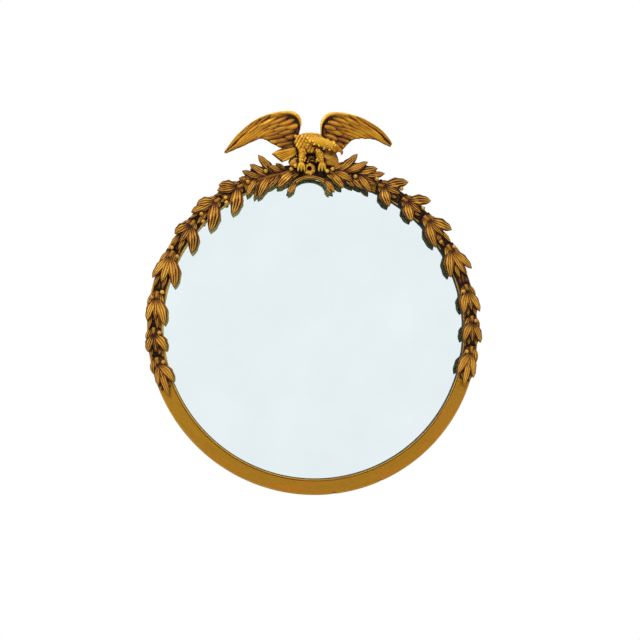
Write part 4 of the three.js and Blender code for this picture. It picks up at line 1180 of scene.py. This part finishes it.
def wing(stations):
    """Slab with a rolled leading edge and a hollow at the shoulder, under rows of feathers."""
    fine = curve_through(stations, (len(stations) - 1) * STEPS + 1)
    leads, trails = fine[:, [0, 1, 4]], fine[:, [2, 3, 5]]
    t = np.concatenate([np.linspace(0, 0.32, 22), np.linspace(0.36, 0.99, 24)])
    knots = [0, 0.02, 0.05, 0.08, 0.115, 0.17, 0.25, 0.6, 1]
    under, drop = np.array([(0.95, -4), (0.5, -6.5), (0.06, -7.5), (0.0, -4)]).T
    shares = np.append(t, under)
    rings, marks = [], []
    for i, (lead, trail) in enumerate(zip(leads, trails)):
        hollow = float(smooth_step(4.2, 1.6, i / STEPS) * smooth_step(0.1, 0.6, i / STEPS))
        rise = np.interp(t, knots, [-1.6, 0.6, 1.4, 1.0, 0.4 - 3.6 * hollow, 0.3 - 3.9 * hollow,
                                    -0.3 - 1.2 * hollow, -1.4, -1.4])
        # the marks darken the hollow at the shoulder: painted shade
        mark = np.interp(t, knots, [0.5, 0.75, 0.8, 0.7, 0.66 - 0.4 * hollow, 0.66 - 0.5 * hollow,
                                    0.6 - 0.15 * hollow, 0.5, 0.5])
        slim = min(1, 0.3 + math.dist(lead[:2], trail[:2]) / 40)
        x, z, h = lead[:, None] + (trail - lead)[:, None] * shares
        rings.append(out_of_crest(x, z, h + np.append(rise, drop) * slim))
        marks.append(np.append(mark, [0.3] * 4))
    gilt = np.append(np.ones(len(t)), [0.3, 0, 0, 0.4])
    work = Carving().skin(np.array(rings), relief=np.array(marks), gilding=gilt)

    def spot(station, share):
        k = int(round(np.clip(station, 0, len(stations) - 1) * STEPS))
        return leads[k] + (trails[k] - leads[k]) * share

    # rows of feathers: stations of their tips; share of the wing's width at the tips; that at the
    # root feather's root and how much less at the tip's; sweep and its growth; half width and its
    # loss; heights at root, middle and tip; bow; painted shade, a shift of the relief mark that darkens
    # the row
    for tips, share, (foot, less), (sweep, more), (half, loss), heights, bow, rubbed in (
            ((1.6, 2.5, 3.4, 4.3, 5.2, 6.1, 7.0, 7.9, 8.8, 9.7), 0.975, (0.62, 0.4), (0.8, 4.4),
             (8.4, 4.6), (-1.6, 1.2, -0.5), 2.0, -0.28),
            ((2.1, 3.0, 3.9, 4.9, 6.0, 7.1, 8.2), 0.7, (0.36, 0.16), (0.8, 2.4),
             (8.2, 4.4), (-1.8, 1.6, -0.2), 1.6, -0.18),
            ((2.6, 3.5, 4.5, 5.6, 6.8), 0.48, (0.22, 0.1), (0.6, 2.0),
             (7.4, 4.0), (-2.0, 1.8, 0.2), 1.4, -0.1),
            ((6.4, 7.4, 8.3, 9.1, 9.8), 0.34, (0.06, 0), (0.8, 1.6),
             (6.2, 3.8), (-1.0, 1.2, 0.0), 1.0, -0.36)):
        row = []
        for k, i in enumerate(tips):
            rx, rz, rh = spot(i - sweep - more * i / 10, foot - less * (i / 10))
            tx, tz, th = spot(i, share)
            lap = 0.25 * (k % 2)
            row.append((rx, rz, tx, tz, half - loss * i / 10, rh + heights[0],
                        (rh + th) / 2 + heights[1] + lap, th + heights[2] + lap, bow))
        crest_blades(work, FEATHER, row, 2, thick=1.1, rubbed=rubbed, gold="eagle")
    return work


carved += [
    ("eagle_trunk", "eagle_body", eagle_body(), "eagle"),
    ("eagle_left_leg", "eagle_leg_left", eagle_leg(-18, -4), "eagle"),
    ("eagle_right_leg", "eagle_leg_right", eagle_leg(19, 8), "eagle"),
    ("eagle_tail_fan", "eagle_tail", eagle_tail(), "eagle"),
    ("eagle_left_wing", "eagle_wing_left", wing(WING_LEFT), "eagle"),
    ("eagle_right_wing", "eagle_wing_right", wing(WING_RIGHT), "eagle"),
]


def show_with_cavity_shade():
    """Shows every carving, with a cavity mark of painted shade read from the height map of them all."""
    whole = HeightMap((-345, -120), (345, 445), -6)
    a, r = np.meshgrid(np.linspace(0, TURN, 2200), np.arange(SIGHT_R, OUTER_R + 1))
    whole.press(out_of_face(r * np.sin(a), r * np.cos(a), 0).reshape(-1, 3))
    for _, _, work, _ in carved:
        whole.press(work.cloud())
    whole.close(1)
    near, wide = whole.blurred(2), whole.blurred(6)
    for name, node, work, gold in carved:
        x, y, z = work.cloud().T
        under = near.at(x, z) - (FACE_Y - y)
        if gold == "eagle":   # its back is in ground paint
            work.marks["olive"] = [mark + 0.4 for mark in work.marks["olive"]]
            gilt = np.concatenate(work.marks["gilding"])
            work.marks["gilding"] = [gilt * smooth_step(14, 7, under)]
        made = show(name, work, (gold,), "mirror", [node])
        # painted shade: the further a point lies below the near and the wide height map, the darker
        painted_shade_depth = 0.6 * under / 3.5 + 0.4 * (wide.at(x, z) - (FACE_Y - y)) / 7
        write_mark(made.data, "cavity", np.clip(painted_shade_depth, -0.35, 0.6))


show_with_cavity_shade()
show("crest_core", crest_core(), ("leaf", "pine"), "mirror", ["crest_block"])
for holder in (LEAF, BROAD, FEATHER, SCALE):
    bpy.data.objects.remove(holder)


# ---- fittings on the back ----
def slab(outline, y_low, y_high, ease):
    """Flat plate with eased edges from its outline in x and z."""
    outline = np.asarray(outline, float)
    inward = outline.mean(0) - outline
    inward /= np.linalg.norm(inward, axis=1)[:, None]
    steps = ((0, ease), (0.3 * ease, 0.3 * ease), (ease, 0))
    rings = []
    for y, inset in [(y_low + d, i) for d, i in steps] + [(y_high - d, i) for d, i in steps[::-1]]:
        x, z = (outline + inward * inset).T
        rings.append(xyz(x, y, z))
    return Carving().skin(rings)


def turned(degrees):
    """Matrix that turns rows of x and z."""
    c, s = math.cos(math.radians(degrees)), math.sin(math.radians(degrees))
    return np.array([[c, s], [-s, c]])


def rounded(length, width, corner, x, z, degrees):
    """Outline of a rounded strip that runs off at this angle from x, z, its first end's middle."""
    a = np.radians(np.arange(0, 91, 10))
    quarter = corner * np.stack([np.cos(a), np.sin(a)], axis=1)
    far, wide = length - corner, width / 2 - corner
    centres = ((far, wide), (corner, wide), (corner, -wide), (far, -wide))
    points = [quarter @ turned(90 * k) + centre for k, centre in enumerate(centres)]
    return np.vstack(points) @ turned(degrees) + (x, z)


BUTTON_ANGLES = (-150, -90, -30, 30, 90, 150)
METAL_T = 2
SIDES = (("left", -1), ("right", 1))
for number, angle in enumerate(BUTTON_ANGLES, 1):
    x, z = on_ring(angle, LAND_R + 5)
    button = slab(rounded(34, 10, 4.95, x, z, 270 - angle), SEAT_Y, SEAT_Y + METAL_T, 0.4)
    name = f"turn_button_{number}"
    show("brass_" + name, button, ("brass",), name, [name], smooth=False)

STRAP_FOOT, STRAP_TOP = LAND_R - 6, STEM_R + 29
strap = slab(rounded(STRAP_TOP - STRAP_FOOT, 14, 2.5, 0, STRAP_FOOT, 90),
             SEAT_Y, SEAT_Y + METAL_T, 0.35)
show("crest_tie_strap", strap, ("steel",), "mirror", ["crest_strap"], smooth=False)
for word, side in SIDES:
    a = circle(48)
    pad = np.stack([np.cos(a), np.sin(a)], axis=1) * 9 + on_ring(side * 162, LAND_R)
    show(f"felt_wall_bumper_{word}", slab(pad, SEAT_Y, 0, 0.8), ("felt",), "mirror",
         [f"wall_bumper_{word}"], smooth=False)

WIRE_R, STRIP_T = 1.4, 1.2
EYE_Y = SEAT_Y + STRIP_T + WIRE_R + CLEAR


def hanger_strap(side, x, z, bar_x):
    """Brass strip, its tail rounded, its other end rolled round the ring's straight side."""
    mid = WIRE_R + CLEAR + STRIP_T / 2
    path = [(x + side * (8 - d), EYE_Y - mid, 5.5 * math.sqrt(min(1, 0.12 + d / 3)), -90)
            for d in (0.05, 0.4, 1, 1.8, 3, 8, 14, 20)]
    path += [(bar_x - side * mid * math.sin(math.radians(v)), EYE_Y - mid * math.cos(math.radians(v)),
              5.5, v - 90) for v in range(0, 331, 15)]
    t, ease = STRIP_T / 2, 0.25
    rings = []
    for px, py, half, v in path:
        out = np.array([t, t, t - ease, ease - t, -t, -t, ease - t, t - ease])
        wide = half - np.array([ease, ease, 0, 0, ease, ease, 0, 0])
        wide *= (-1, 1, 1, 1, 1, -1, -1, -1)
        nx, ny = -side * math.cos(math.radians(v)), math.sin(math.radians(v))
        rings.append(xyz(px + nx * out, py + ny * out, z + wide))
    return Carving().skin(rings)


def hanger_ring(side, z, bar_x):
    """D-ring of bent wire: a straight side in the strap and a round one to hang by."""
    half, reach = 9.5, 17
    loop = [(bar_x, z + half * f) for f in (-0.6, 0, 0.6)]
    for k in range(11):
        v = math.radians(90 - 18 * k)
        out = (reach - 3) * math.cos(v) + (3 if 0 < k < 10 else 1.2)
        loop.append((bar_x - side * out, z + half * math.sin(v)))
    closed = loop[-1:] + loop + loop[:2]
    line = curve_through(closed, (len(closed) - 1) * 8 + 1)[8:-16]
    along = np.roll(line, -1, 0) - np.roll(line, 1, 0)
    along /= np.linalg.norm(along, axis=1)[:, None]
    across, up = WIRE_R * np.cos(circle(16)), WIRE_R * np.sin(circle(16))
    rings = [xyz(px - az * across, EYE_Y + up, pz + ax * across)
             for (px, pz), (ax, az) in zip(line, along)]
    return Carving().skin(rings, endless=True)


HEAD_Y = SEAT_Y + METAL_T + CLEAR
screw_seats = [(*on_ring(angle, LAND_R), HEAD_Y) for angle in BUTTON_ANGLES]
for word, side in SIDES:
    x, z = on_ring(side * 45, LAND_R)
    bar_x = x - side * 14
    screw_seats.append((x, z, SEAT_Y + STRIP_T + CLEAR))
    node = f"hanger_strap_{word}"
    show("brass_" + node, hanger_strap(side, x, z, bar_x), ("brass",), "mirror", [node])
    node = f"hanger_ring_{word}"
    show("wire_" + node, hanger_ring(side, z, bar_x), ("steel",), node, [node])
screw_seats += [(0, LAND_R, HEAD_Y), (0, STRAP_TOP - 6, HEAD_Y)]


def screw_blank():
    """Domed head with a sawn slot on a plain shank, its seat at the origin, its head towards +y."""
    a = circle(32)
    profile = ((1.2, -8.4), (1.55, -7.6), (1.55, -0.2), (3.3, 0), (3.5, 0.25), (3.45, 0.8), (3.1, 1.35),
               (2.4, 1.75), (1.3, 1.95))
    rings = [xyz(r * np.cos(a), y, r * np.sin(a)) for r, y in profile]
    made = Carving().skin(rings).mesh("screw_blank", [])
    cut = bmesh.new()
    cut.from_mesh(made)
    for x in (-0.5, -0.42, 0.42, 0.5):
        bmesh.ops.bisect_plane(cut, geom=cut.verts[:] + cut.edges[:] + cut.faces[:],
                               plane_co=(x * MM, 0, 0), plane_no=(1, 0, 0))
    for v in cut.verts:
        if abs(v.co.x) < 0.43 * MM and v.co.y > 0.7 * MM:
            v.co.y = 0.75 * MM
    cut.to_mesh(made)
    cut.free()
    return put("screw_blank", made)


SCREW = screw_blank()
driven = grow(screws_tree(), seat_cloud([(x, y, z) for x, z, y in screw_seats]), Blank=SCREW,
              Seed=4, Finish=finish["steel"])
bpy.data.objects.remove(SCREW)
names = [f"turn_button_screw_{k}" for k in range(1, 7)] + [
    "hanger_screw_left", "hanger_screw_right", "crest_strap_screw_1", "crest_strap_screw_2"]
show("slotted_screws", Carving().take_mesh(driven), ("steel",), "mirror", names)
